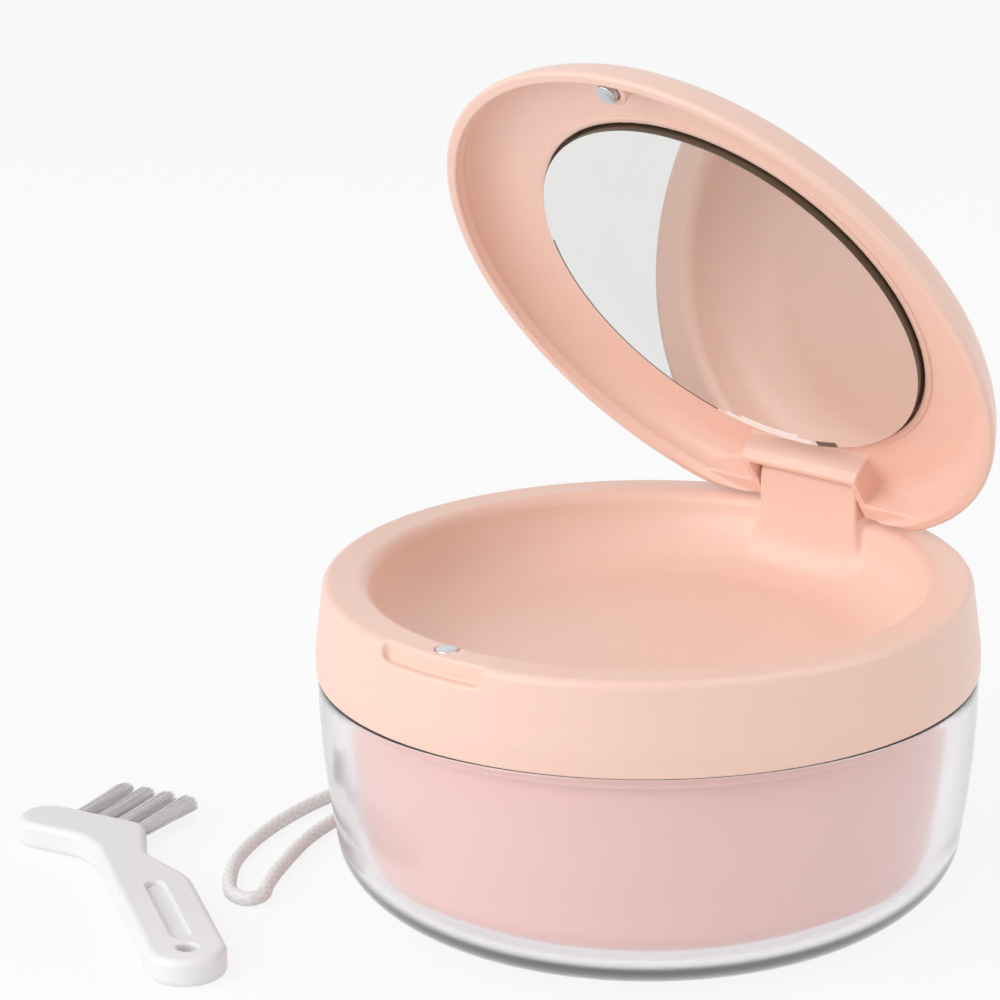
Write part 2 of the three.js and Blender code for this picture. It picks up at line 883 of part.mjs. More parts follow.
function tuftAlong(number) {
  return brush.headWidth / 2 + (number - (tuft.count - 1) / 2) * tuft.pitch;
}

// Block let into the head's face, grown by an allowance on every side but the face
function backingBlock(number, allowance) {
  const middle = tuftAlong(number);
  const halfWidth = tuft.backingWidth / 2 + allowance;
  const halfHeight = tuft.backingHeight / 2 + allowance;
  const front = allowance > 0 ? -overrun : 0;
  const back = tuft.backing + allowance;
  return plate([
    headPoint(middle - halfWidth, front),
    headPoint(middle + halfWidth, front),
    headPoint(middle + halfWidth, back),
    headPoint(middle - halfWidth, back),
  ], brush.thickness / 2 - halfHeight, brush.thickness / 2 + halfHeight);
}

function makeBrushHandle() {
  const grooveRadius = brush.grooveWidth / 2;
  const grooveNear = brush.grooveStart + grooveRadius;
  const grooveFar = brush.grooveStart + brush.grooveLength - grooveRadius;
  const groove = plate([
    ...arc(grooveNear, 0, grooveRadius, grooveRadius, 90, 270, 5),
    ...arc(grooveFar, 0, grooveRadius, grooveRadius, -90, 90, 5),
  ], brush.thickness - brush.grooveDepth, brush.thickness + overrun);
  const hole = post(brush.holeRadius, brush.holeInset, 0, -overrun, brush.thickness + overrun);
  let handle = plate(brushOutline(), 0, brush.thickness).subtract(groove).subtract(hole);
  for (let number = 0; number < tuft.count; number += 1) {
    handle = handle.subtract(backingBlock(number, gap));
  }
  return handle;
}

// One bristle from inside its backing out to its tip
function strand(along, height, flare) {
  const sections = [];
  for (const [back, spread] of [[tuft.backing / 2, 1], [-tuft.length, 1 + flare]]) {
    const section = [];
    for (let i = 0; i < strandSides; i += 1) {
      const angle = (2 * Math.PI * i) / strandSides;
      const [x, y] = headPoint(
        along.middle + along.offset * spread + tuft.strandRadius * Math.cos(angle),
        back,
      );
      const z = brush.thickness / 2 + height * spread + tuft.strandRadius * Math.sin(angle);
      section.push(new THREE.Vector3(x, y, z));
    }
    sections.push(section);
  }
  return loft(sections);
}

function makeTuft(number) {
  const rowSpacing = (tuft.strandSpacing * Math.sqrt(3)) / 2;
  const middle = tuftAlong(number);
  const pieces = [backingBlock(number, 0)];
  for (let row = 0; row < tuft.rows; row += 1) {
    const height = (row - (tuft.rows - 1) / 2) * rowSpacing;
    const shift = (row % 2) * 0.5 - 0.25;
    for (let i = 0; i < tuft.rowLength; i += 1) {
      const offset = (i - (tuft.rowLength - 1) / 2 + shift) * tuft.strandSpacing;
      pieces.push(strand({ middle, offset }, height, tuft.flareShare));
    }
  }
  return Manifold.union(pieces);
}

function makeTank() {
  const tank = new THREE.Group();
  tank.add(namedMesh('outer_bowl', makeOuterBowl(), finishes.clear));
  tank.add(namedMesh('inner_liner', makeInnerLiner(), finishes.liner));
  return tank;
}

function makeStrap() {
  const group = new THREE.Group();
  const beadMesh = namedMesh('strap_bead', makeBead(), finishes.white);
  const direction = beadEnd.clone().sub(beadStart).normalize();
  beadMesh.quaternion.setFromUnitVectors(new THREE.Vector3(0, 0, 1), direction);
  beadMesh.position.copy(beadStart);
  group.add(namedMesh('strap_knot', makeStrapKnot(), finishes.cord));
  group.add(namedMesh(
    'tether_cord',
    cordSolid(tetherPath, strap.tetherRadius, tetherSteps),
    finishes.cord,
  ));
  group.add(beadMesh);
  group.add(namedMesh('wrist_loop', cordSolid(loopPath, strap.loopRadius, loopSteps), finishes.cord));
  return group;
}

function makeCollarGroup() {
  const group = new THREE.Group();
  group.add(namedMesh('collar', makeCollar(), finishes.shell));
  group.add(namedMesh('collar_magnet', makeCollarMagnet(), finishes.steel));
  group.add(namedMesh('hinge_pin', axleSolid(hinge.pinRadius, hinge.pinLength), finishes.steel));
  group.add(makeStrap());
  return group;
}

// The lid is built closed, then its group turns it open about the pin
function makeLid() {
  const pieces = new THREE.Group();
  const glass = disc(mirror.radius, lid.mirrorFace, lid.mirrorFace + mirror.thickness);
  pieces.add(namedMesh('lid_shell', makeLidShell(), finishes.shell));
  pieces.add(namedMesh('mirror_glass', glass, finishes.glass));
  pieces.add(namedMesh('mirror_tape', makeTape(), finishes.tape));
  pieces.add(namedMesh('lid_magnet', makeLidMagnet(), finishes.steel));
  pieces.position.set(0, -hinge.y, -hinge.z);
  const swing = new THREE.Group();
  swing.position.set(0, hinge.y, hinge.z);
  swing.rotation.x = -lid.openAngle;
  swing.add(pieces);
  return swing;
}

function makeBrush() {
  const group = new THREE.Group();
  group.add(namedMesh('brush_handle', makeBrushHandle(), finishes.white));
  for (let number = 0; number < tuft.count; number += 1) {
    group.add(namedMesh(`brush_tuft_${number + 1}`, makeTuft(number), finishes.nylon));
  }
  group.position.set(brush.x, brush.y, 0);
  group.rotation.z = brush.layAngle;
  return group;
}

function makeRetainerCase() {
  const assembly = new THREE.Group();
  assembly.add(makeTank());
  assembly.add(namedMesh('seal_ring', makeSealRing(), finishes.silicone));
  assembly.add(makeCollarGroup());
  assembly.add(makeLid());
  assembly.add(makeBrush());
  return assembly;
}

export default makeRetainerCase();
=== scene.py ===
"""Retainer cleaning case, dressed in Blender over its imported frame.

Sizes are in millimetres and meshes are made in metres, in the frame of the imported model:
+Z up along the bowl's axis, the lid's hinge at +Y and the thumb notch at -Y.
"""

from __future__ import annotations

import json
import logging
import math
from collections.abc import Callable, Mapping, Sequence
from dataclasses import dataclass
from enum import Enum

import bmesh
import bpy
import numpy as np
from mathutils import Matrix, Vector

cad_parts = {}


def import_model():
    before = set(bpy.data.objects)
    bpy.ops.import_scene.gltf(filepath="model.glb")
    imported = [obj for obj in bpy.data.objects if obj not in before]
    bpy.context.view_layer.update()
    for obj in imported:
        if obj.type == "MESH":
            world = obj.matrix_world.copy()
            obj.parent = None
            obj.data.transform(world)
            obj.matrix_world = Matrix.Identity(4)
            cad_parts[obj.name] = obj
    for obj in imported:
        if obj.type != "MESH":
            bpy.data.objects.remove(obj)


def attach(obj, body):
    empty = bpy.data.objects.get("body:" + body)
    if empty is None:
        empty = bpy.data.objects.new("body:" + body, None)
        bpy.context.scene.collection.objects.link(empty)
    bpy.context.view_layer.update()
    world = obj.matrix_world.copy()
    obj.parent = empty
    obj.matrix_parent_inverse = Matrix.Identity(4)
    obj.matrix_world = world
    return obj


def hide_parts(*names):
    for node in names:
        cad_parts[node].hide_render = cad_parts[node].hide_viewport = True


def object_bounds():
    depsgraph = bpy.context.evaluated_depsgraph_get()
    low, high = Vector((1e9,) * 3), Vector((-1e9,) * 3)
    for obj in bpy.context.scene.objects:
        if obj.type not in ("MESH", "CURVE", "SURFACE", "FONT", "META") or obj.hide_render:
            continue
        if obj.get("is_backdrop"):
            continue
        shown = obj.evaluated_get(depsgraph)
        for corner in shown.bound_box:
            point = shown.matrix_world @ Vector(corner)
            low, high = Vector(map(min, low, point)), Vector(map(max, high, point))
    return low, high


log = logging.getLogger("retainer_case")

MM = 0.001
Point2 = tuple[float, float]
Point3 = tuple[float, float, float]
Colour = tuple[float, float, float, float]
Field = np.ndarray
Solid = Callable[[Field, Field, Field], Field]
WHITE: Colour = (1.0, 1.0, 1.0, 1.0)
LOOKING = ("Camera", "Glossy", "Transmission")  # rays of the camera, a reflection or a clear piece
PAST_AXIS = -4.0  # where a closed section ends beyond the axis that it is turned about
TINY = 1e-12  # length below which two points count as one
SHORT = 1e-4  # reach below which a corner stays sharp
STRAIGHT = -0.93  # cosine below which a corner counts as straight
CORNER_SHARE = 0.45  # most that a rounded corner takes of either of its sides
COARSE = 4  # fine cells along each side of a coarse one
NEAR = 1.15  # coarse cells from the skin within which the grid is fine
SETTLING = 3  # times that the points are moved onto the skin


# Node building


class MathStep(Enum):
    """Operations of the Math node that the finishes use."""

    ADD = "ADD"
    SUBTRACT = "SUBTRACT"
    MULTIPLY = "MULTIPLY"
    DIVIDE = "DIVIDE"
    MAXIMUM = "MAXIMUM"
    SINE = "SINE"


class Grain(Enum):
    """Patterns of noise, each with its scale in turns a metre and its detail."""

    CLOUD = (26.0, 3.0)
    TURN = (45.0, 1.0)
    WAVE = (60.0, 1.0)
    BREATH = (90.0, 3.0)
    FLOW = (240.0, 2.0)
    PATCH = (420.0, 2.0)
    HAZE = (900.0, 2.0)
    PORE = (1500.0, 4.0)
    DRAWN = (1800.0, 2.0)
    FINE_PORE = (2400.0, 4.0)
    SPARK = (2600.0, 2.0)
    GROUND = (3800.0, 2.0)
    FIBRE = (5200.0, 2.0)
    SCRATCH = (5200.0, 3.0)


class Wire:
    """Output socket of a node, on which arithmetic adds Math nodes."""

    def __init__(self, bench: Bench, socket: bpy.types.NodeSocket | None) -> None:
        """Keep the socket and the tree that it belongs to."""
        self.bench = bench
        self.socket = socket

    def _step(self, step: MathStep, first: WireOrNumber, second: WireOrNumber = 0.0) -> Wire:
        """Add one Math node."""
        return self.bench.node("ShaderNodeMath", {"operation": step.value}, {0: first, 1: second})

    def __add__(self, other: WireOrNumber) -> Wire:
        """Sum of two values."""
        return self._step(MathStep.ADD, self, other)

    __radd__ = __add__

    def __sub__(self, other: WireOrNumber) -> Wire:
        """This value less another."""
        return self._step(MathStep.SUBTRACT, self, other)

    def __mul__(self, other: WireOrNumber) -> Wire:
        """Product of two values."""
        return self._step(MathStep.MULTIPLY, self, other)

    def __truediv__(self, other: WireOrNumber) -> Wire:
        """This value over another."""
        return self._step(MathStep.DIVIDE, self, other)

    def above(self, other: WireOrNumber) -> Wire:
        """Larger of two values."""
        return self._step(MathStep.MAXIMUM, self, other)

    def sine(self) -> Wire:
        """Sine of this value in radians."""
        return self._step(MathStep.SINE, self)


WireOrNumber = Wire | float


class Bench:
    """Node tree of one material or of the world."""

    def __init__(self, tree: bpy.types.NodeTree) -> None:
        """Start from an empty tree."""
        self.tree = tree
        tree.nodes.clear()

    def node(
        self,
        kind: str,
        settings: Mapping[str, object] | None = None,
        inputs: Mapping[str | int, object] | None = None,
        output: int | str = 0,
    ) -> Wire:
        """Add any node.

        Args:
            kind: The node's type.
            settings: Its properties, such as a Math node's operation.
            inputs: Values or wires of its sockets.
            output: The socket that the returned wire stands for.

        Returns:
            The wire of that output.
        """
        node = self.tree.nodes.new(kind)
        for name, value in (settings or {}).items():
            setattr(node, name, value)
        for key, value in (inputs or {}).items():
            if isinstance(value, Wire):
                self.tree.links.new(value.socket, node.inputs[key])
            else:
                node.inputs[key].default_value = value
        return Wire(self, node.outputs[output] if len(node.outputs) else None)

    def place(self, output: str = "Object") -> Wire:
        """Coordinates on the piece, in metres or as its map."""
        return self.node("ShaderNodeTexCoord", output=output)

    def noise(self, grain: Grain) -> Wire:
        """Soft noise between 0 and 1.

        Args:
            grain: The pattern.

        Returns:
            The wire of its value.
        """
        scale, detail = grain.value
        return self.node(
            "ShaderNodeTexNoise",
            {"noise_dimensions": "3D"},
            {"Vector": self.place(), "Scale": scale, "Detail": detail},
        )

    def between(self, share: WireOrNumber, first: object, second: object) -> Wire:
        """Colour between two colours."""
        return self.node(
            "ShaderNodeMix", {"data_type": "RGBA"}, {0: share, 6: first, 7: second}, output=2
        )

    def bump(self, height: Wire, strength: float, distance_mm: float) -> Wire:
        """Normal raised by a height.

        Args:
            height: Where it is high.
            strength: Share of the bump that shows.
            distance_mm: How high the highest place stands.

        Returns:
            The wire of the normal.
        """
        return self.node(
            "ShaderNodeBump",
            inputs={"Height": height, "Strength": strength, "Distance": distance_mm * MM},
        )

    def shader(self, inputs: Mapping[str | int, object]) -> Wire:
        """Principled shader."""
        return self.node("ShaderNodeBsdfPrincipled", inputs=inputs)

    def mixed(self, share: WireOrNumber, first: Wire, second: Wire) -> Wire:
        """Shader between two shaders."""
        return self.node("ShaderNodeMixShader", inputs={0: share, 1: first, 2: second})

    def rays(self, *kinds: str) -> Wire:
        """One for a light path of any of these kinds, else zero.

        Args:
            kinds: Kinds of ray, as the node names them.

        Returns:
            The wire of the result.
        """
        found = [self.node("ShaderNodeLightPath", output=f"Is {kind} Ray") for kind in kinds]
        result = found[0]
        for other in found[1:]:
            result = result.above(other)
        return result

    def lamplit(self, surface: Wire, share: float = 1.0) -> Wire:
        """Shader that lets a share of the lamp light pass unbent, so that what is inside is lit."""
        clear = self.node("ShaderNodeBsdfTransparent")
        return self.mixed(self.rays("Shadow", "Diffuse") * share, surface, clear)

    def finish(self, surface: Wire, kind: str = "ShaderNodeOutputMaterial") -> None:
        """Join a shader to the tree's output."""
        self.node(kind, inputs={"Surface": surface})


def srgb(red: int, green: int, blue: int) -> Colour:
    """Linear colour of a screen colour.

    Args:
        red: Red channel, to 255.
        green: Green channel.
        blue: Blue channel.

    Returns:
        The colour, opaque.
    """

    def linear(value: int) -> float:
        """Linear share of one channel, by the screen's standard curve."""
        share = value / 255
        return share / 12.92 if share <= 0.04045 else ((share + 0.055) / 1.055) ** 2.4

    return (linear(red), linear(green), linear(blue), 1.0)


# Finishes


@dataclass(frozen=True)
class Finish:
    """Named finish of a piece."""

    name: str
    colour: Colour
    shade: Colour

    def surface(self, bench: Bench) -> Wire:
        """Shader of the finish, which each kind of finish makes its own way.

        Args:
            bench: The material's nodes.

        Returns:
            The shader's wire.
        """
        raise NotImplementedError

    def tint(self, bench: Bench, share: Wire) -> Wire:
        """Colour that runs from the finish's colour to its shade."""
        return bench.between(share, self.colour, self.shade)

    def material(self) -> bpy.types.Material:
        """Build the material.

        Returns:
            The new material.
        """
        material = bpy.data.materials.new(self.name)
        material.use_nodes = True
        bench = Bench(material.node_tree)
        bench.finish(self.surface(bench))
        return material


@dataclass(frozen=True)
class MouldedPlastic(Finish):
    """Opaque moulded plastic with a soft sheen."""

    roughness: float = 0.34
    grain: float = 0.04
    glow: float = 0.0
    sheen: float = 0.0

    def surface(self, bench: Bench) -> Wire:
        """Shader with faint clouds of colour and a fine grain.

        Args:
            bench: The material's nodes.

        Returns:
            The shader's wire.
        """
        cloud, grain = bench.noise(Grain.CLOUD), bench.noise(Grain.SPARK)
        flow = bench.noise(Grain.FLOW)
        return bench.shader({
            "Base Color": self.tint(bench, cloud),
            "Roughness": self.roughness + (flow - 0.5) * 0.1 + (cloud - 0.5) * 0.08,
            "Normal": bench.bump(grain + flow * 0.6, self.grain, 0.12),
            "Subsurface Weight": self.glow,
            "Subsurface Radius": (1.0, 0.5, 0.35),
            "Subsurface Scale": 0.0012,
            "Sheen Weight": self.sheen,
            "Sheen Roughness": 0.4,
            "IOR": 1.48,
        })


@dataclass(frozen=True)
class ClearPlastic(Finish):
    """Polished see-through plastic."""

    roughness: float = 0.08

    def surface(self, bench: Bench) -> Wire:
        """Shader with slow waves, through which lamp light passes unbent.

        Args:
            bench: The material's nodes.

        Returns:
            The shader's wire.
        """
        wave = bench.noise(Grain.WAVE)
        return bench.lamplit(bench.shader({
            "Base Color": self.tint(bench, wave),
            "Roughness": self.roughness + bench.noise(Grain.HAZE) * 0.02,
            "Normal": bench.bump(wave, 0.02, 0.4),
            "Transmission Weight": 1.0,
            "IOR": 1.47,
        }))


@dataclass(frozen=True)
class PlatedMetal(Finish):
    """Plated or ground metal with fine marks."""

    roughness: float = 0.2
    marks: float = 0.05

    def surface(self, bench: Bench) -> Wire:
        """Shader whose gloss is broken by fine marks.

        Args:
            bench: The material's nodes.

        Returns:
            The shader's wire.
        """
        fine = bench.noise(Grain.SCRATCH)
        return bench.shader({
            "Base Color": self.tint(bench, bench.noise(Grain.PATCH)),
            "Metallic": 1.0,
            "Roughness": self.roughness + (fine - 0.5) * 0.12,
            "Normal": bench.bump(fine, self.marks, 0.05),
        })


@dataclass(frozen=True)
class SilveredGlass(Finish):
    """Face of the mirror."""

    def surface(self, bench: Bench) -> Wire:
        """Shader of silver with a breath of haze.

        Args:
            bench: The material's nodes.

        Returns:
            The shader's wire.
        """
        breath = bench.noise(Grain.BREATH)
        return bench.shader({
            "Base Color": self.tint(bench, breath),
            "Metallic": 0.9,
            "Roughness": 0.01 + breath * 0.015,
        })


@dataclass(frozen=True)
class PaintedShadeGlassEdge(Finish):
    """Dark ground edge of the mirror, its dark brown partly painted shade, greener and browner by
    turns.
    """

    def surface(self, bench: Bench) -> Wire:
        """Shader of ground glass under a thin gloss, darkened as painted shade.

        Args:
            bench: The material's nodes.

        Returns:
            The shader's wire.
        """
        fine = bench.noise(Grain.GROUND)
        return bench.shader({
            "Base Color": self.tint(bench, bench.noise(Grain.TURN)),
            "Roughness": 0.16 + fine * 0.14,
            "Normal": bench.bump(fine, 0.06, 0.05),
            "Coat Weight": 0.5,
            "IOR": 1.52,
        })


@dataclass(frozen=True)
class SoftRubber(Finish):
    """Matte silicone or foam."""

    grain: Grain = Grain.PORE

    def surface(self, bench: Bench) -> Wire:
        """Shader of a dull skin with small pores.

        Args:
            bench: The material's nodes.

        Returns:
            The shader's wire.
        """
        pores = bench.noise(self.grain)
        return bench.shader({
            "Base Color": self.tint(bench, pores),
            "Roughness": 0.6 + pores * 0.25,
            "Normal": bench.bump(pores, 0.15, 0.1),
        })


@dataclass(frozen=True)
class BraidedCord(Finish):
    """Woven cord whose strands run round it both ways, with painted shade in the grooves."""

    strands: int = 6
    lay: float = 1.1

    def surface(self, bench: Bench) -> Wire:
        """Shader of the braid with its grooves painted darker as shade; the map gives turns round
        and diameters along.

        Args:
            bench: The material's nodes.

        Returns:
            The shader's wire.
        """
        spot = bench.place("UV")
        around, along = [
            bench.node("ShaderNodeSeparateXYZ", inputs={0: spot}, output=axis) for axis in "XY"
        ]
        turns = around * (2 * math.pi * self.strands)
        run = along * (2 * math.pi * self.lay)
        over = ((turns + run).sine().above((turns - run).sine()) + 1.0) / 2.0
        fibre = bench.noise(Grain.FIBRE)
        return bench.shader({
            # painted shade: the grooves between the strands take the darker shade colour
            "Base Color": bench.between(over, self.shade, self.colour),
            "Roughness": 0.72 + fibre * 0.18,
            "Normal": bench.bump(over + fibre * 0.35, 0.4, 0.1),
            "Subsurface Weight": 0.4,
            "Subsurface Radius": (1.0, 1.0, 1.0),
            "Subsurface Scale": 0.0008,
        })


@dataclass(frozen=True)
class Bristle(Finish):
    """Drawn nylon of the brush's bristles."""

    passes: float = 0.96

    def surface(self, bench: Bench) -> Wire:
        """Shader of a thin strand, which most lamp light passes.

        Args:
            bench: The material's nodes.

        Returns:
            The shader's wire.
        """
        strand = bench.noise(Grain.DRAWN)
        nylon = bench.shader({
            "Base Color": self.tint(bench, strand),
            "Roughness": 0.36 + strand * 0.2,
            "Normal": bench.bump(strand, 0.1, 0.05),
        })
        return bench.lamplit(nylon, self.passes)


@dataclass(frozen=True)
class PaleFloor(Finish):
    """Matt floor that glows a little where it is looked at, so that it ends in white."""

    glow: float = 0.85

    def surface(self, bench: Bench) -> Wire:
        """Shader between the matt colour and the glow.

        Args:
            bench: The material's nodes.

        Returns:
            The shader's wire.
        """
        matt = bench.node("ShaderNodeBsdfDiffuse", inputs={"Color": self.colour})
        glow = bench.node("ShaderNodeEmission", inputs={"Color": self.shade, "Strength": 1.0})
        return bench.mixed(bench.rays(*LOOKING) * self.glow, matt, glow)


@dataclass(frozen=True)
class Finishes:
    """Every finish of the case, by the record's slots."""

    peach: MouldedPlastic = MouldedPlastic(
        "peach_moulding", srgb(245, 209, 194), srgb(242, 205, 189), 0.34, 0.03, 0.1
    )
    pink: MouldedPlastic = MouldedPlastic(
        "pink_moulding", srgb(238, 199, 192), srgb(235, 194, 187), 0.38, 0.03, 0.08, 0.25
    )
    white: MouldedPlastic = MouldedPlastic(
        "white_moulding", srgb(240, 240, 242), srgb(234, 234, 237), 0.32, 0.04
    )
    clear: ClearPlastic = ClearPlastic("clear_moulding", srgb(255, 254, 255), srgb(253, 252, 255))
    magnet: PlatedMetal = PlatedMetal("magnet_plating", srgb(214, 215, 217), srgb(196, 198, 202))
    steel: PlatedMetal = PlatedMetal(
        "ground_steel", srgb(188, 190, 194), srgb(196, 198, 202), 0.28, 0.1
    )
    mirror: SilveredGlass = SilveredGlass("silvered_face", srgb(231, 232, 231), srgb(233, 234, 233))
    # the mirror's edge: its dark brown is partly painted shade, and it also colours the painted
    # dark line and dash
    edge: PaintedShadeGlassEdge = PaintedShadeGlassEdge("glass_edge_painted_shade", srgb(78, 62, 46), srgb(66, 60, 42))
    # painted highlight: a pale sector on the mirror's rim stands in for a lamp's reflection in its
    # bevel
    painted_glint: MouldedPlastic = MouldedPlastic(
        "painted_highlight_edge", srgb(252, 252, 252), srgb(250, 250, 251), 0.12, 0.01
    )
    silicone: SoftRubber = SoftRubber("silicone_skin", srgb(232, 229, 226), srgb(224, 221, 219))
    tape: SoftRubber = SoftRubber(
        "foam_tape_skin", srgb(74, 74, 76), srgb(58, 58, 60), Grain.FINE_PORE
    )
    # second colour of each cord: painted shade in the braid's grooves
    cord: BraidedCord = BraidedCord("cord_braid", srgb(250, 250, 251), srgb(232, 232, 235))
    thin_cord: BraidedCord = BraidedCord(
        "thin_cord_braid", srgb(250, 250, 251), srgb(232, 232, 235), 4, 0.9
    )
    nylon: Bristle = Bristle("nylon_bristle", srgb(246, 246, 247), srgb(232, 233, 236))


# Outlines and solids, in millimetres


def arc(
    centre: Point2, radii: Point2, from_degrees: float, to_degrees: float, steps: int = 14
) -> list[Point2]:
    """Points on an ellipse arc, both ends included.

    Args:
        centre: Middle of the ellipse.
        radii: Its radius along each axis.
        from_degrees: Angle of the first point.
        to_degrees: Angle of the last point.
        steps: Spaces between the points.

    Returns:
        The points in order.
    """
    angles = np.radians(np.linspace(from_degrees, to_degrees, steps + 1))
    return [
        (centre[0] + radii[0] * math.cos(angle), centre[1] + radii[1] * math.sin(angle))
        for angle in angles
    ]


def softened(points: Sequence[Point2], radius: float, steps: int = 5) -> list[Point2]:
    """Round the sharp corners of an open outline.

    Args:
        points: The outline's points in order.
        radius: Length taken off each side of a corner, at most.
        steps: Points on each rounded corner.

    Returns:
        The outline with each sharp corner drawn as a small curve.
    """
    result = [points[0]]
    for before, corner, after in zip(points, points[1:], points[2:]):
        back = np.subtract(before, corner)
        on = np.subtract(after, corner)
        one, two = np.linalg.norm(back), np.linalg.norm(on)
        reach = min(radius, CORNER_SHARE * one, CORNER_SHARE * two)
        cosine = np.dot(back, on) / (one * two + TINY)
        if cosine < STRAIGHT or reach < SHORT:
            result.append(corner)
            continue
        start = np.add(corner, back / one * reach)
        end = np.add(corner, on / two * reach)
        for share in np.linspace(0, 1, steps):
            spot = (1 - share) ** 2 * start + 2 * share * (1 - share) * np.array(corner)
            result.append(tuple(spot + share**2 * end))
    result.append(points[-1])
    return result


class Outline:
    """Signed distance to a closed outline, read from a fine table."""

    def __init__(self, points: Sequence[Point2], margin: float = 4.0, step: float = 0.08) -> None:
        """Fill the table.

        Args:
            points: Corners of the outline in order.
            margin: How far the table reaches past the outline.
            step: Spacing of the table.
        """
        ring = np.array(points, float)
        self.low = ring.min(0) - margin
        self.step = step
        size = np.ceil((ring.max(0) + margin - self.low) / step).astype(int) + 1
        u = self.low[0] + step * np.arange(size[0])[:, None]
        v = self.low[1] + step * np.arange(size[1])[None, :]
        nearest = np.full(size, np.inf)
        inside = np.zeros(size, bool)
        for start, end in zip(ring, np.roll(ring, -1, 0)):
            run = end - start
            length = float(run @ run)
            if length < TINY:
                continue
            share = np.clip(((u - start[0]) * run[0] + (v - start[1]) * run[1]) / length, 0, 1)
            away = (u - start[0] - share * run[0]) ** 2 + (v - start[1] - share * run[1]) ** 2
            nearest = np.minimum(nearest, away)
            if abs(run[1]) > TINY:
                crossing = start[0] + (v - start[1]) / run[1] * run[0]
                spans = (v >= min(start[1], end[1])) & (v < max(start[1], end[1]))
                inside ^= spans & (u < crossing)
        self.table = np.where(inside, -1.0, 1.0) * np.sqrt(nearest)

    def __call__(self, u: Field, v: Field) -> Field:
        """Distance at places in the outline's plane.

        Args:
            u: Places along the first axis.
            v: Places along the second axis.

        Returns:
            The distances, below zero inside.
        """
        limit = np.array(self.table.shape) - 1.001
        i = np.clip((u - self.low[0]) / self.step, 0, limit[0])
        j = np.clip((v - self.low[1]) / self.step, 0, limit[1])
        i0, j0 = i.astype(int), j.astype(int)
        a, b = i - i0, j - j0
        table = self.table
        return (
            table[i0, j0] * (1 - a) * (1 - b)
            + table[i0 + 1, j0] * a * (1 - b)
            + table[i0, j0 + 1] * (1 - a) * b
            + table[i0 + 1, j0 + 1] * a * b
        )


def meet(first: Field, second: Field, radius: float | Field) -> Field:
    """What two solids share, with its new edge rounded.

    Args:
        first: Distance to one solid.
        second: Distance to the other.
        radius: Radius of the new edge.

    Returns:
        Distance to what they share.
    """
    a, b = first + radius, second + radius
    outside = np.hypot(np.maximum(a, 0), np.maximum(b, 0))
    return outside + np.minimum(np.maximum(a, b), 0) - radius


def join(first: Field, second: Field, radius: float | Field) -> Field:
    """Two solids as one, with a fillet in the corner between them."""
    return -meet(-first, -second, radius)


def slab(x: Field, low: float, high: float) -> Field:
    """Distance to the space between two planes."""
    return np.abs(x - (low + high) / 2) - (high - low) / 2


def sampled(solid: Solid, low: Point3, high: Point3, step: float) -> tuple[Field, Field]:
    """Read a solid's distance on a grid, finely only near its skin.

    Args:
        solid: Distance at places, below zero inside.
        low: Lowest corner of the space that holds the solid.
        high: Highest corner of that space.
        step: Size of the grid's cells.

    Returns:
        The grid's lowest corner and the distance in each cell.
    """
    base = np.array(low) - 2 * step
    blocks = np.ceil((np.array(high) + 2 * step - base) / (step * COARSE)).astype(int)
    centres = [base[n] + step * COARSE * (np.arange(blocks[n]) + 0.5) for n in range(3)]
    grid = solid(*[part.ravel() for part in np.meshgrid(*centres, indexing="ij")])
    grid = grid.reshape(blocks)
    near = np.abs(grid) < step * COARSE * NEAR
    for axis in range(3):
        grid, near = grid.repeat(COARSE, axis), near.repeat(COARSE, axis)
    at = np.nonzero(near)
    grid[near] = solid(*[base[n] + step * (at[n] + 0.5) for n in range(3)])
    return base, grid


def skin_places(grid: Field, spots: Field) -> Field:
    """Middle of the places where the skin crosses the edges of each cell.

    Args:
        grid: Distance in each cell of the grid.
        spots: Numbers of the cells that the skin passes through, in rows.

    Returns:
        The places, in cells, in rows.
    """
    total = np.zeros((len(spots), 3))
    count = np.zeros(len(spots))
    for axis in range(3):
        for first, second in np.ndindex(2, 2):
            start = np.zeros(3, int)
            start[(axis + 1) % 3], start[(axis + 2) % 3] = first, second
            end = start.copy()
            end[axis] = 1
            here = grid[tuple((spots + start).T)]
            there = grid[tuple((spots + end).T)]
            crosses = (here < 0) != (there < 0)
            share = np.where(crosses, here / np.where(crosses, here - there, 1.0), 0.0)
            total[crosses] += (start + share[:, None] * (end - start))[crosses]
            count += crosses
    return spots + total / count[:, None]


def skin_faces(inside: Field, cell: Field) -> list[list[int]]:
    """Four-sided faces between the points of neighbouring cells.

    Args:
        inside: True in each cell of the grid that is inside the solid.
        cell: Number of the point between cells, or -1 where the skin is elsewhere.

    Returns:
        Rings of point numbers.
    """
    faces = []
    for axis in range(3):
        u, v = (axis + 1) % 3, (axis + 2) % 3
        before, after = [slice(1, -1)] * 3, [slice(1, -1)] * 3
        before[axis], after[axis] = slice(0, -1), slice(1, None)
        starts, ends = inside[tuple(before)], inside[tuple(after)]
        edges = np.argwhere(starts != ends)
        outward = starts[tuple(edges.T)]
        edges = edges + np.where(np.arange(3) == axis, 0, 1)
        ring = []
        for back_u, back_v in ((0, 0), (1, 0), (1, 1), (0, 1)):
            spot = edges.copy()
            spot[:, u] -= back_u
            spot[:, v] -= back_v
            ring.append(cell[tuple(spot.T)])
        quads = np.stack(ring, 1)
        faces.append(np.where(outward[:, None], quads, quads[:, ::-1]))
    return np.concatenate(faces).tolist()


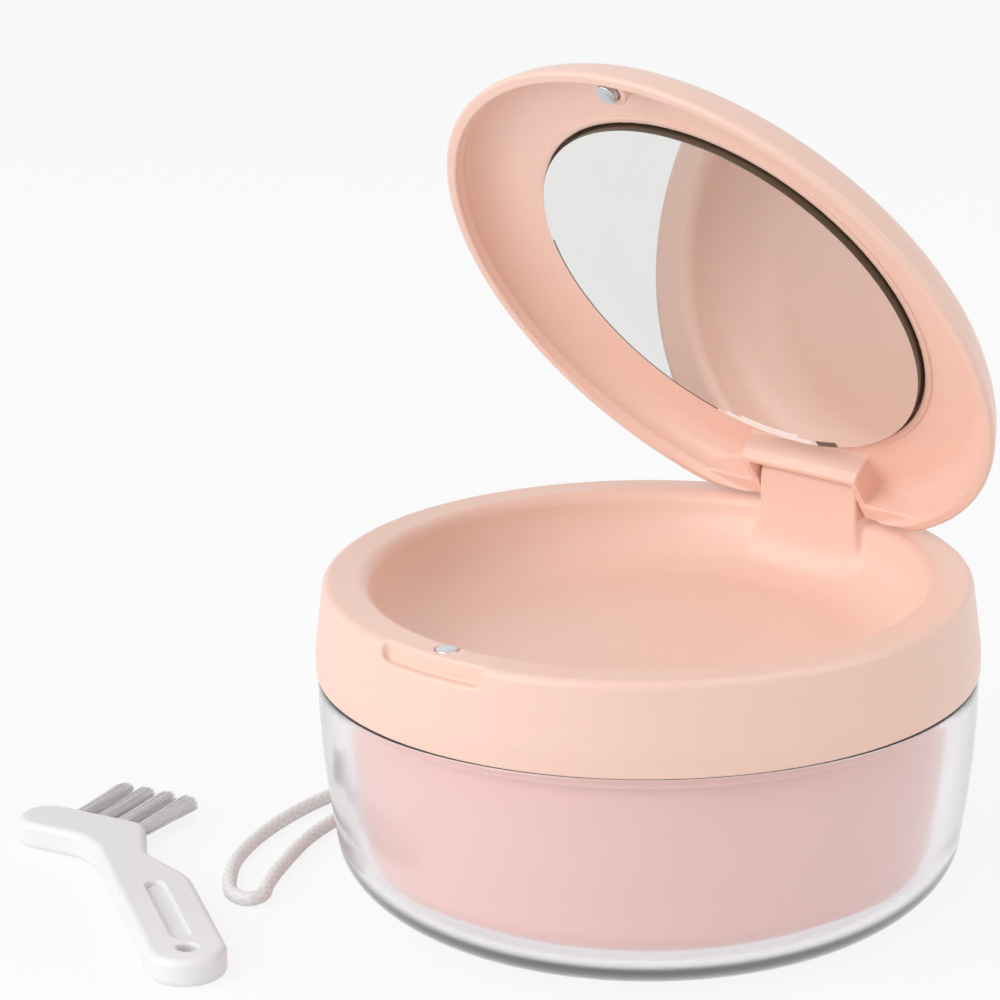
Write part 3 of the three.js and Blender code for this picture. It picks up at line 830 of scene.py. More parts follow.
def net_surface(solid: Solid, low: Point3, high: Point3, step: float) -> tuple[Skin, Field]:
    """Mesh the skin of a solid given by its signed distance.

    Args:
        solid: Distance at places, below zero inside.
        low: Lowest corner of the space that holds the solid.
        high: Highest corner of that space.
        step: Size of the mesh's faces.

    Returns:
        The skin of four-sided faces and the normal at each point.
    """
    base, grid = sampled(solid, low, high, step)
    inside = grid < 0
    span = [size - 1 for size in inside.shape]
    filled = np.zeros(span, np.uint8)
    for corner in np.ndindex(2, 2, 2):
        filled += inside[tuple(slice(c, c + size) for c, size in zip(corner, span))]
    active = (filled > 0) & (filled < 8)
    cell = np.full(span, -1, np.int64)
    cell[active] = np.arange(np.count_nonzero(active))
    points = base + step * (0.5 + skin_places(grid, np.argwhere(active)))
    normals = slope(solid, points)
    for _ in range(SETTLING):
        value = np.clip(solid(*points.T), -0.5 * step, 0.5 * step)
        points = points - value[:, None] * normals
        normals = slope(solid, points)
    return Skin(points, skin_faces(inside, cell)), normals


def slope(solid: Solid, points: Field, reach: float = 0.03) -> Field:
    """Unit direction in which the distance grows.

    Args:
        solid: Distance at places.
        points: Places to measure at.
        reach: Half the length that it is measured over.

    Returns:
        A direction for each place.
    """
    parts = []
    for axis in range(3):
        shift = np.zeros(3)
        shift[axis] = reach
        parts.append(solid(*(points + shift).T) - solid(*(points - shift).T))
    direction = np.stack(parts, 1)
    return direction / np.maximum(np.linalg.norm(direction, axis=1, keepdims=True), 1e-9)


# Meshes


def mesh_piece(
    name: str,
    skin: Skin,
    materials: Sequence[bpy.types.Material],
    normals: Field | None = None,
    turn: Callable[[int], int] | None = None,
) -> bpy.types.Object:
    """Make a smooth mesh object from a skin in millimetres.

    Args:
        name: Name of the piece.
        skin: Its points and faces.
        materials: Its materials in order.
        normals: Normal at each point, or None for the mesh's own.
        turn: Gives a face's material number from its own number.

    Returns:
        The new object, linked to the scene.
    """
    mesh = bpy.data.meshes.new(name)
    mesh.from_pydata((np.asarray(skin.points, float) * MM).tolist(), [], skin.faces)
    for material in materials:
        mesh.materials.append(material)
    if normals is None:
        work = bmesh.new()
        work.from_mesh(mesh)
        bmesh.ops.recalc_face_normals(work, faces=work.faces)
        work.to_mesh(mesh)
        work.free()
    mesh.polygons.foreach_set("use_smooth", np.ones(len(mesh.polygons), bool))
    if turn is not None:
        numbers = [turn(number) for number in range(len(mesh.polygons))]
        mesh.polygons.foreach_set("material_index", numbers)
    mesh.update()
    if normals is not None:
        mesh.normals_split_custom_set_from_vertices(normals.tolist())
    piece = bpy.data.objects.new(name, mesh)
    bpy.context.scene.collection.objects.link(piece)
    return piece


@dataclass
class Skin:
    """Points in millimetres and faces of point numbers, before they become a mesh."""

    points: Sequence[Point3] | Field
    faces: list[list[int]]

    def add(self, other: Skin) -> Skin:
        """Take in another skin.

        Args:
            other: The skin to take in.

        Returns:
            This skin.
        """
        start = len(self.points)
        self.points.extend(other.points)
        self.faces.extend([number + start for number in face] for face in other.faces)
        return self

    def moved(self, matrix: Matrix) -> Skin:
        """Copy of this skin, moved by a matrix in millimetres."""
        return Skin([tuple(matrix @ Vector(point)) for point in self.points], self.faces)


def lathe(section: Sequence[Point2], sides: int = 160, closed: bool = False) -> Skin:
    """Turn a section of radius and height round Z.

    Args:
        section: Points from the axis round to the axis, or a closed ring of points.
        sides: Faces in one turn.
        closed: True for a closed ring.

    Returns:
        The turned skin.
    """
    points: list[Point3] = []
    rows: list[list[int]] = []
    for radius, height in section:
        start = len(points)
        if radius < 1e-6:
            points.append((0.0, 0.0, height))
            rows.append([start] * sides)
            continue
        for number in range(sides):
            angle = 2 * math.pi * number / sides
            points.append((radius * math.cos(angle), radius * math.sin(angle), height))
        rows.append(list(range(start, start + sides)))
    faces = []
    above = rows[1:] + rows[:1] if closed else rows[1:]
    for low, high in zip(rows, above):
        for number in range(sides):
            after = (number + 1) % sides
            ring = [low[number], low[after], high[after], high[number]]
            faces.append(list(dict.fromkeys(ring)))
    return Skin(points, faces)


def smooth_path(points: Sequence[Point3], spacing: float) -> Field:
    """Even points on the smooth curve through given ones.

    Args:
        points: Points to pass through.
        spacing: About the space between the new points.

    Returns:
        The new points, one a row.
    """
    knots = [np.array(point, float) for point in points]
    knots = [2 * knots[0] - knots[1], *knots, 2 * knots[-1] - knots[-2]]
    steps = 24
    line = []
    for a, b, c, d in zip(knots, knots[1:], knots[2:], knots[3:]):
        t1 = np.linalg.norm(b - a) ** 0.5
        t2 = t1 + np.linalg.norm(c - b) ** 0.5
        t3 = t2 + np.linalg.norm(d - c) ** 0.5
        for t in np.linspace(t1, t2, steps, endpoint=False):
            ab = (t1 - t) / t1 * a + t / t1 * b
            bc = (t2 - t) / (t2 - t1) * b + (t - t1) / (t2 - t1) * c
            cd = (t3 - t) / (t3 - t2) * c + (t - t2) / (t3 - t2) * d
            abc = (t2 - t) / t2 * ab + t / t2 * bc
            bcd = (t3 - t) / (t3 - t1) * bc + (t - t1) / (t3 - t1) * cd
            line.append((t2 - t) / (t2 - t1) * abc + (t - t1) / (t2 - t1) * bcd)
    line.append(knots[-2])
    dense = np.array(line)
    run = run_along(dense)
    even = np.linspace(0, run[-1], max(int(run[-1] / spacing), 2) + 1)
    return np.stack([np.interp(even, run, dense[:, axis]) for axis in range(3)], 1)


def run_along(line: Field) -> Field:
    """Length along a row of points up to each of them."""
    return np.concatenate([[0], np.cumsum(np.linalg.norm(np.diff(line, axis=0), axis=1))])


def tube_faces(rings: int, sides: int) -> list[list[int]]:
    """Faces of a closed tube of rings of points, its two ends last.

    Args:
        rings: Number of rings.
        sides: Points on each ring.

    Returns:
        Rings of point numbers.
    """
    faces = []
    for row in range(rings - 1):
        low, high = row * sides, (row + 1) * sides
        for number in range(sides):
            after = (number + 1) % sides
            faces.append([low + number, low + after, high + after, high + number])
    last = (rings - 1) * sides
    return [*faces, list(range(sides))[::-1], list(range(last, last + sides))]


def ring_points(spot: Field, side: Field, other: Field, radius: float, sides: int) -> list[Point3]:
    """Points on a circle about a spot, in the plane of two directions.

    Args:
        spot: Middle of the circle.
        side: Direction of the first point.
        other: Direction a quarter turn on.
        radius: Radius of the circle.
        sides: Number of points.

    Returns:
        The points in order.
    """
    angles = [2 * math.pi * number / sides for number in range(sides)]
    return [
        tuple(spot + radius * (math.cos(angle) * side + math.sin(angle) * other))
        for angle in angles
    ]


def tube_skin(line: Field, radius: float, sides: int, guide: Point3 = (0.0, 0.0, 1.0)) -> Skin:
    """Closed skin of cord along a line.

    Args:
        line: Points that it follows.
        radius: Radius of the cord.
        sides: Faces round it.
        guide: A direction that its first ring is square to.

    Returns:
        The skin of the tube.
    """
    tangent = np.gradient(line, axis=0)
    tangent /= np.linalg.norm(tangent, axis=1, keepdims=True)
    side = np.cross(tangent[0], guide)
    points: list[Point3] = []
    for spot, direction in zip(line, tangent):
        side = side - direction * (side @ direction)
        side /= np.linalg.norm(side)
        points += ring_points(spot, side, np.cross(direction, side), radius, sides)
    return Skin(points, tube_faces(len(line), sides))


def cord_piece(
    name: str, line: Field, radius: float, material: bpy.types.Material, sides: int
) -> bpy.types.Object:
    """Tube along a line, with a map of turns round it and diameters along it.

    Args:
        name: Name of the piece.
        line: Points that it follows.
        radius: Radius of the cord.
        material: Its finish.
        sides: Faces round it.

    Returns:
        The new object.
    """
    skin = tube_skin(line, radius, sides)
    away = np.array(skin.points) - line.repeat(sides, 0)
    outward = away / np.linalg.norm(away, axis=1, keepdims=True)
    piece = mesh_piece(name, skin, [material], outward)
    along = run_along(line) / (2 * radius)
    spots = []
    for near, far in zip(along, along[1:]):
        for number in range(sides):
            left, right = number / sides, (number + 1) / sides
            spots += [(left, near), (right, near), (right, far), (left, far)]
    spots += [(0.5, 0.0)] * (2 * sides)
    chart = piece.data.uv_layers.new(name="cord")
    chart.data.foreach_set("uv", np.array(spots, float).ravel())
    return piece


def settle(piece: bpy.types.Object, body: str, slot: str, *nodes: str) -> bpy.types.Object:
    """Give a piece its body and hide the nodes that it stands for.

    Args:
        piece: The object.
        body: Name of the body that it moves with.
        slot: The record's material slot; not used.
        nodes: Nodes that it takes the place of.

    Returns:
        The same object.
    """
    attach(piece, body)
    if nodes:
        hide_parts(*nodes)
    log.info("%s: %d faces on %s", piece.name, len(piece.data.polygons), body)
    return piece


# Camera, light and floor


@dataclass(frozen=True)
class Viewpoint:
    """Camera of the photograph, fitted to the case."""

    azimuth: float = 42.08
    elevation: float = 17.32
    roll: float = -0.8
    distance: float = 600.0
    focal_share: float = 4.38927
    aim_right: float = -19.52
    aim_up: float = 54.56
    sensor: float = 36.0
    nearest: float = 0.02

    def axes(self) -> tuple[Vector, Vector, Vector]:
        """Right, up and back of the view before its roll.

        Returns:
            The three unit vectors.
        """
        turn, rise = math.radians(self.azimuth), math.radians(self.elevation)
        back = Vector((
            math.sin(turn) * math.cos(rise),
            -math.cos(turn) * math.cos(rise),
            math.sin(rise),
        ))
        right = Vector((math.cos(turn), math.sin(turn), 0.0))
        return right, back.cross(right), back

    def build(self) -> None:
        """Make the camera and give it to the scene."""
        right, up, back = self.axes()
        roll = math.radians(self.roll)
        across = right * math.cos(roll) + up * math.sin(roll)
        rise = up * math.cos(roll) - right * math.sin(roll)
        place = (right * self.aim_right + up * self.aim_up + back * self.distance) * MM
        data = bpy.data.cameras.new("view")
        data.sensor_width = self.sensor
        data.lens = self.focal_share * self.sensor
        data.clip_start = self.nearest
        camera = bpy.data.objects.new("view", data)
        camera.matrix_world = Matrix((
            (across.x, rise.x, back.x, place.x),
            (across.y, rise.y, back.y, place.y),
            (across.z, rise.z, back.z, place.z),
            (0, 0, 0, 1),
        ))
        bpy.context.scene.collection.objects.link(camera)
        bpy.context.scene.camera = camera


@dataclass(frozen=True)
class Lamp:
    """Soft square lamp, placed along the view's own axes."""

    name: str
    right: float
    up: float
    back: float
    watts: float
    size: float
    aim_height: float = 0.05

    def build(self, view: Viewpoint) -> None:
        """Make the lamp and turn it to the case.

        Args:
            view: The view that it is placed along.
        """
        right, _, back = view.axes()
        front = Vector((back.x, back.y, 0.0)).normalized()
        place = right * self.right + front * self.back + Vector((0, 0, self.up))
        data = bpy.data.lights.new(self.name, "AREA")
        data.energy = self.watts
        data.size = self.size
        lamp = bpy.data.objects.new(self.name, data)
        lamp.location = place
        aim = Vector((0, 0, self.aim_height)) - place
        lamp.rotation_euler = aim.to_track_quat("-Z", "Y").to_euler()
        bpy.context.scene.collection.objects.link(lamp)


@dataclass(frozen=True)
class Studio:
    """Plain pale floor, white surroundings and soft lamps."""

    view: Viewpoint
    dome: float = 0.4
    floor: PaleFloor = PaleFloor("pale_floor", (0.9, 0.9, 0.9, 1.0), WHITE)
    floor_size: float = 12.0
    floor_drop: float = 0.05
    lamps: tuple[Lamp, ...] = (
        Lamp("key", -0.7, 0.5, 0.8, 4.7, 0.7),
        Lamp("left", -1.0, 0.45, 0.25, 2.5, 0.7),
        Lamp("right", 1.0, 0.4, 0.25, 2.6, 0.7),
        Lamp("top_left", -0.6, 1.0, 0.1, 2.3, 0.7),
        Lamp("top_right", 0.6, 1.0, 0.1, 1.6, 0.7),
    )

    def build(self) -> None:
        """Make the world, the floor and the lamps."""
        world = bpy.data.worlds.new("studio")
        world.use_nodes = True
        bpy.context.scene.world = world
        bench = Bench(world.node_tree)
        seen = bench.rays(*LOOKING)
        strength = self.dome + seen * (1.0 - self.dome)
        background = bench.node(
            "ShaderNodeBackground", inputs={"Color": WHITE, "Strength": strength}
        )
        bench.finish(background, "ShaderNodeOutputWorld")
        half = self.floor_size / 2 / MM
        low = -self.floor_drop
        corners = [(-half, -half, low), (half, -half, low), (half, half, low), (-half, half, low)]
        floor = mesh_piece("floor", Skin(corners, [[0, 1, 2, 3]]), [self.floor.material()])
        floor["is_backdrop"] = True
        for lamp in self.lamps:
            lamp.build(self.view)


# The case


@dataclass(frozen=True)
class Thread:
    """Four-start screw thread between the tank's neck and the collar."""

    starts: int = 4
    lead: float = 12.0
    sweep: float = 78.0
    depth: float = 0.95
    root_width: float = 1.1
    crest_width: float = 0.7
    first_height: float = 2.8
    end_share: float = 0.55
    fade_steps: int = 3
    steps: int = 30

    def ridges(self, root: float, crest: float, start_height: float) -> Skin:
        """Ridges whose ends run out into the wall.

        Args:
            root: Radius at which the ridges are rooted.
            crest: Radius of their crests.
            start_height: Height at which each starts.

        Returns:
            The skin of all of them.
        """
        skin = Skin([], [])
        faces = tube_faces(self.steps + 1, 4)
        for start in range(self.starts):
            points: list[Point3] = []
            for number in range(self.steps + 1):
                share = number / self.steps
                fade = min(min(share, 1 - share) * self.steps / self.fade_steps, 1.0)
                top = root + (crest - root) * (self.end_share + (1 - self.end_share) * fade)
                turn = math.radians(360 * start / self.starts + self.sweep * share)
                height = start_height + self.lead * self.sweep * share / 360
                for radius, drop in (
                    (root, -self.root_width / 2),
                    (root, self.root_width / 2),
                    (top, self.crest_width / 2),
                    (top, -self.crest_width / 2),
                ):
                    points.append((radius * math.cos(turn), radius * math.sin(turn), height + drop))
            skin.add(Skin(points, faces))
        return skin


@dataclass(frozen=True)
class Tank:
    """Clear outer bowl, coloured liner and the silicone seal on its neck."""

    base_radius: float = 21.8
    shoulder_radius: float = 42.3
    shoulder_height: float = 11.8
    mouth_radius: float = 44.3
    height: float = 34.0
    wall: float = 1.6
    floor: float = 2.2
    lip: float = 0.2
    air_gap: float = 2.4
    liner_wall: float = 1.8
    liner_bottom: float = 2.5
    liner_base_radius: float = 18.8
    flange_radius: float = 42.4
    flange_thickness: float = 1.8
    neck_radius: float = 41.0
    neck_taper: float = 2.8
    neck_top: float = 40.7
    seal_bottom: float = 41.0
    seal_top: float = 42.4
    seal_bead: float = 0.5
    seal_edge: Point2 = (0.15, 0.2)
    bite: float = 0.4
    thread_gap: float = 0.3
    bowl_edge: float = 0.3
    liner_edge: float = 0.4
    sides: int = 192

    def wall_line(self, inset: float, down: bool, top: float, steps: int = 12) -> list[Point2]:
        """Points on the bowl's wall between its shoulder and its mouth.

        Args:
            inset: How far inside the outer wall they lie.
            down: True to run from the mouth down.
            top: Height of the upper end.
            steps: Number of points.

        Returns:
            Points of radius and height, in order.
        """
        points = []
        for number in range(1, steps + 1):
            share = number / steps
            share = 1 - share if down else share
            eased = 1 - (1 - share) ** 2
            radius = self.shoulder_radius + (self.mouth_radius - self.shoulder_radius) * eased
            height = self.shoulder_height + (top - self.shoulder_height) * share
            points.append((radius - inset, height))
        return points

    def bowl_section(self) -> list[Point2]:
        """Section of the clear bowl.

        Returns:
            Points of radius and height, in order.
        """
        width = self.shoulder_radius - self.base_radius
        centre = (self.base_radius, self.shoulder_height)
        outer = arc(centre, (width, self.shoulder_height), -90, 0, steps=24)
        inner_radii = (width - self.wall, self.shoulder_height - self.floor)
        return softened([
            (0.0, 0.0),
            *outer,
            *self.wall_line(0, False, self.height - self.lip),
            (self.mouth_radius - self.lip, self.height),
            (self.mouth_radius - self.wall, self.height),
            *self.wall_line(self.wall, True, self.height - self.lip)[:-1],
            *arc(centre, inner_radii, 0, -90, steps=24),
            (0.0, self.floor),
        ], self.bowl_edge)

    def liner_section(self) -> list[Point2]:
        """Section of the liner with its flange and neck.

        Returns:
            Points of radius and height, in order.
        """
        inset = self.wall + self.air_gap
        width = self.shoulder_radius - inset - self.liner_base_radius
        rise = self.shoulder_height - self.liner_bottom
        centre = (self.liner_base_radius, self.shoulder_height)
        flange_bottom = self.height - self.flange_thickness
        neck_inner = self.neck_radius - self.liner_wall
        taper_bottom = self.height - self.neck_taper
        inner_inset = inset + self.liner_wall
        inner_radii = (width - self.liner_wall, rise - self.liner_wall)
        return softened([
            (0.0, self.liner_bottom),
            *arc(centre, (width, rise), -90, 0, steps=24),
            *self.wall_line(inset, False, flange_bottom),
            (self.flange_radius, flange_bottom),
            (self.flange_radius, self.height),
            (self.neck_radius, self.height),
            (self.neck_radius, self.neck_top),
            (neck_inner, self.neck_top),
            (neck_inner, self.height),
            (self.mouth_radius - inner_inset, taper_bottom),
            *self.wall_line(inner_inset, True, taper_bottom)[:-1],
            *arc(centre, inner_radii, 0, -90, steps=24),
            (0.0, self.liner_bottom + self.liner_wall),
        ], self.liner_edge)

    def seal_section(self) -> list[Point2]:
        """Closed section of the seal, rounded on its outside.

        Returns:
            Points of radius and height, in order.
        """
        inner = self.neck_radius - self.liner_wall
        middle = (self.seal_bottom + self.seal_top) / 2
        half = (self.seal_top - self.seal_bottom) / 2
        width, height = self.seal_edge
        return [
            (inner + width, self.seal_bottom),
            *arc((self.neck_radius, middle), (self.seal_bead, half), -90, 90, steps=10),
            (inner + width, self.seal_top),
            (inner, self.seal_top - height),
            (inner, self.seal_bottom + height),
        ]

    def build(self, finishes: Finishes) -> None:
        """Make the bowl, the liner and the seal.

        Args:
            finishes: Finishes of the case.
        """
        bowl = lathe(self.bowl_section(), self.sides)
        settle(
            mesh_piece("bowl_moulding", bowl, [finishes.clear.material()]),
            "tank", "clear_plastic", "outer_bowl",
        )
        liner = lathe(self.liner_section(), self.sides)
        thread = Thread()
        liner.add(thread.ridges(
            self.neck_radius - self.bite,
            self.neck_radius + thread.depth,
            self.height + self.thread_gap + thread.first_height,
        ))
        settle(
            mesh_piece("liner_moulding", liner, [finishes.pink.material()]),
            "tank", "pink_plastic", "inner_liner",
        )
        seal = lathe(self.seal_section(), closed=True)
        settle(
            mesh_piece("seal_moulding", seal, [finishes.silicone.material()]),
            "seal", "silicone", "seal_ring",
        )


@dataclass(frozen=True)
class Hinge:
    """Pin, knuckle and ear sizes that the collar and the lid share."""

    y: float = 37.3
    z: float = 50.6
    pin_radius: float = 1.0
    pin_length: float = 19.0
    pin_edge: float = 0.25
    bore_radius: float = 1.3
    knuckle_radius: float = 2.8
    knuckle_width: float = 16.8
    notch_width: float = 17.5
    ear_outer: float = 10.1
    bore_end: float = 9.8
    open_angle: float = 56.7

    def away(self, y: Field, z: Field) -> Field:
        """Distance from the pin's axis."""
        return np.hypot(y - self.y, z - self.z)

    def opened(self, points: Field) -> Field:
        """Points of the closed lid, turned about the pin to its open place.

        Args:
            points: Points in rows.

        Returns:
            The turned points.
        """
        angle = math.radians(self.open_angle)
        y, z = points[:, 1] - self.y, points[:, 2] - self.z
        return np.stack([
            points[:, 0],
            y * math.cos(angle) + z * math.sin(angle) + self.y,
            -y * math.sin(angle) + z * math.cos(angle) + self.z,
        ], 1)

    def opened_skin(self, skin: Skin) -> Skin:
        """Skin of a piece of the closed lid, turned to its open place."""
        return Skin(self.opened(np.array(skin.points)), skin.faces)

    def swung(self, directions: Field) -> Field:
        """Directions on the closed lid, turned the same way."""
        return self.opened(directions + (0.0, self.y, self.z)) - (0.0, self.y, self.z)


@dataclass(frozen=True)
class Magnets:
    """Pair of small disc magnets at the front."""

    radius: float = 1.5
    thickness: float = 2.0
    y: float = -39.6
    pocket_gap: float = 0.1
    edge: float = 0.15

    def disc(self, bottom: float) -> Skin:
        """Skin of one magnet, its edges broken.

        Args:
            bottom: Height of its underside.

        Returns:
            The magnet's skin.
        """
        section = softened([
            (0.0, bottom),
            (self.radius, bottom),
            (self.radius, bottom + self.thickness),
            (0.0, bottom + self.thickness),
        ], self.edge, steps=4)
        return lathe(section, sides=48).moved(Matrix.Translation((0.0, self.y, 0.0)))


@dataclass(frozen=True)
class Collar:
    """Screw-on collar with its dish, thumb notch, hinge block and strap eyelet."""

    radius: float = 44.5
    skirt_radius: float = 42.3
    bottom: float = 34.1
    bottom_round: float = 0.35
    waist: float = 37.3
    taper: float = 1.0
    shoulder_round: float = 1.2
    deck: float = 42.7
    land: float = 46.6
    mouth_radius: float = 37.2
    rim_edge: float = 1.9
    rim_turn: float = 176.0
    rim_lean: float = 0.3
    floor_radius: float = 27.5
    floor_height: float = 37.0
    sweep_top: float = 45.5
    dish_wall: float = 1.8
    notch_half: float = 8.6
    notch_radius: float = 42.4
    notch_height: float = 2.6
    block_front: float = 34.5
    block_back: float = 44.8
    block_root: float = 39.2
    block_slope: float = 15.0
    block_toe: float = 0.6
    block_past: float = 2.0
    block_lap: float = 0.5
    tab_lap: float = 1.4
    tab_top: float = 51.6
    tab_thickness: float = 2.6
    tab_tip: float = 53.4
    tab_rise: float = 4.6
    tab_root: float = 8.0
    tab_end: float = 7.6
    slot_width: float = 7.1
    slot_height: float = 3.6
    slot_y: float = 48.8
    knuckle_edge: float = 0.45
    block_edge: float = 0.4
    block_fillet: tuple[Point2, Point2] = ((34.0, 38.5), (2.2, 0.35))
    bore_edge: float = 0.15
    tab_edge: float = 0.7
    slot_edge: float = 0.55
    tab_fillet: float = 0.6
    notch_fillet: float = 0.35
    notch_end: float = 1.1
    notch_edge: float = 0.45
    pocket_edge: float = 0.2
    thread_root: float = 0.4
    step: float = 0.3
    hinge: Hinge = Hinge()
    magnets: Magnets = Magnets()
    thread: Thread = Thread()

    def section(self) -> list[Point2]:
        """Closed section of skirt, rim and dish.

        Returns:
            Points of radius and height, in order.
        """
        wall_top = self.mouth_radius - self.rim_lean
        sweep = wall_top - self.floor_radius
        drop = self.sweep_top - self.floor_height
        share = (self.sweep_top - self.deck) / (drop + self.dish_wall)
        deck_angle = -math.degrees(math.asin(share))
        top = self.radius - self.taper
        edge = self.rim_edge
        return [
            (PAST_AXIS, self.floor_height - self.dish_wall),
            *arc(
                (self.floor_radius, self.sweep_top),
                (sweep + self.dish_wall, drop + self.dish_wall),
                -90, deck_angle, steps=24,
            ),
            (self.skirt_radius, self.deck),
            (self.skirt_radius, self.bottom),
            *arc(
                (self.radius - self.bottom_round, self.bottom + self.bottom_round),
                (self.bottom_round, self.bottom_round),
                -90, 0, steps=10,
            ),
            (self.radius, self.waist),
            *arc(
                (top - self.shoulder_round, self.land - self.shoulder_round),
                (self.shoulder_round, self.shoulder_round),
                0, 90, steps=16,
            ),
            *arc((wall_top + edge, self.land - edge), (edge, edge), 90, self.rim_turn),
            *arc((self.floor_radius, self.sweep_top), (sweep, drop), -8, -90, steps=30),
            (PAST_AXIS, self.floor_height),
        ]

    def block_section(self) -> list[Point2]:
        """Closed section of the hinge block in Y and Z.

        Returns:
            Its points in order.
        """
        hinge = self.hinge
        drop = (self.block_back - hinge.y) * math.tan(math.radians(self.block_slope))
        back = self.block_back + self.block_past
        return [
            (self.block_front, self.block_root),
            (self.block_front + self.block_toe, self.block_root),
            (hinge.y, self.deck + self.block_lap),
            (back, self.deck + self.block_lap),
            (back, hinge.z + hinge.knuckle_radius - drop - self.block_lap),
            (self.block_back, hinge.z + hinge.knuckle_radius - drop),
            *arc(
                (hinge.y, hinge.z),
                (hinge.knuckle_radius, hinge.knuckle_radius),
                90 - self.block_slope, 180, steps=20,
            ),
        ]

    def tab_outline(self) -> list[Point2]:
        """Outline of the eyelet tab in X and Y.

        Returns:
            Its points in order.
        """
        start, middle = self.hinge.y + self.tab_lap, (0.0, self.tab_tip - self.tab_rise)
        return [
            (-self.tab_root, start),
            (self.tab_root, start),
            (self.tab_root, self.radius),
            *arc(middle, (self.tab_end, self.tab_rise), 0, 180, steps=36),
            (-self.tab_root, self.radius),
        ]

    def solid(self) -> Solid:
        """Signed distance of the whole moulding.

        Returns:
            The distance as a function of places.
        """
        ring = Outline(self.section())
        side = Outline(self.block_section())
        tab = Outline(self.tab_outline())
        hinge, magnets = self.hinge, self.magnets
        tab_low = self.tab_top - self.tab_thickness

        def distance(x: Field, y: Field, z: Field) -> Field:
            """Distance at places, below zero inside.

            Args:
                x: Places along X.
                y: Places along Y.
                z: Places along Z.

            Returns:
                The distances.
            """
            radius = np.hypot(x, y)
            body = ring(radius, z)
            half = hinge.knuckle_width / 2
            bar = meet(side(y, z), slab(x, -half, half), self.knuckle_edge)
            bar = meet(bar, radius - self.block_back, self.block_edge)
            body = join(body, bar, np.interp(y, *self.block_fillet))
            body = meet(body, hinge.bore_radius - hinge.away(y, z), self.bore_edge)
            ear = meet(tab(x, y), slab(z, tab_low, self.tab_top), self.tab_edge)
            half = (self.slot_width - self.slot_height) / 2
            reach = np.hypot(np.maximum(np.abs(x) - half, 0), y - self.slot_y)
            ear = meet(ear, self.slot_height / 2 - reach, self.slot_edge)
            body = join(body, ear, self.tab_fillet)
            shelf = self.land - self.notch_height - z
            thumb = meet(self.notch_radius - radius, shelf, self.notch_fillet)
            ends = np.maximum(np.abs(x) - self.notch_half, y)
            body = meet(body, -meet(thumb, ends, self.notch_end), self.notch_edge)
            spot = np.hypot(x, y - magnets.y) - magnets.radius - magnets.pocket_gap
            pocket = np.maximum(spot, self.land - magnets.thickness - magnets.pocket_gap - z)
            return meet(body, -pocket, self.pocket_edge)

        return distance

    def build(self, finishes: Finishes) -> None:
        """Make the collar, its magnet and the pin.

        Args:
            finishes: Finishes of the case.
        """
        low = (-self.radius, -self.radius, self.bottom)
        high = (self.radius, self.tab_tip, self.hinge.z + self.hinge.knuckle_radius)
        moulding, normals = net_surface(self.solid(), low, high, self.step)
        peach = finishes.peach.material()
        settle(
            mesh_piece("collar_moulding", moulding, [peach], normals),
            "collar", "peach_plastic", "collar",
        )
        pitch = self.thread.lead / self.thread.starts
        ridges = self.thread.ridges(
            self.skirt_radius + self.thread_root,
            self.skirt_radius - self.thread.depth,
            self.bottom + self.thread.first_height - pitch / 2,
        )
        settle(mesh_piece("collar_thread", ridges, [peach]), "collar", "peach_plastic")
        disc = self.magnets.disc(self.land - self.magnets.thickness)
        settle(
            mesh_piece("collar_magnet_disc", disc, [finishes.magnet.material()]),
            "collar", "magnet_steel", "collar_magnet",
        )
        half = self.hinge.pin_length / 2
        rod = softened([
            (0.0, -half),
            (self.hinge.pin_radius, -half),
            (self.hinge.pin_radius, half),
            (0.0, half),
        ], self.hinge.pin_edge)
        lay = Matrix.Translation((0.0, self.hinge.y, self.hinge.z))
        pin = lathe(rod, sides=40).moved(lay @ Matrix.Rotation(math.pi / 2, 4, "Y"))
        settle(
            mesh_piece("pin_rod", pin, [finishes.steel.material()]),
            "collar", "pin_steel", "hinge_pin",
        )


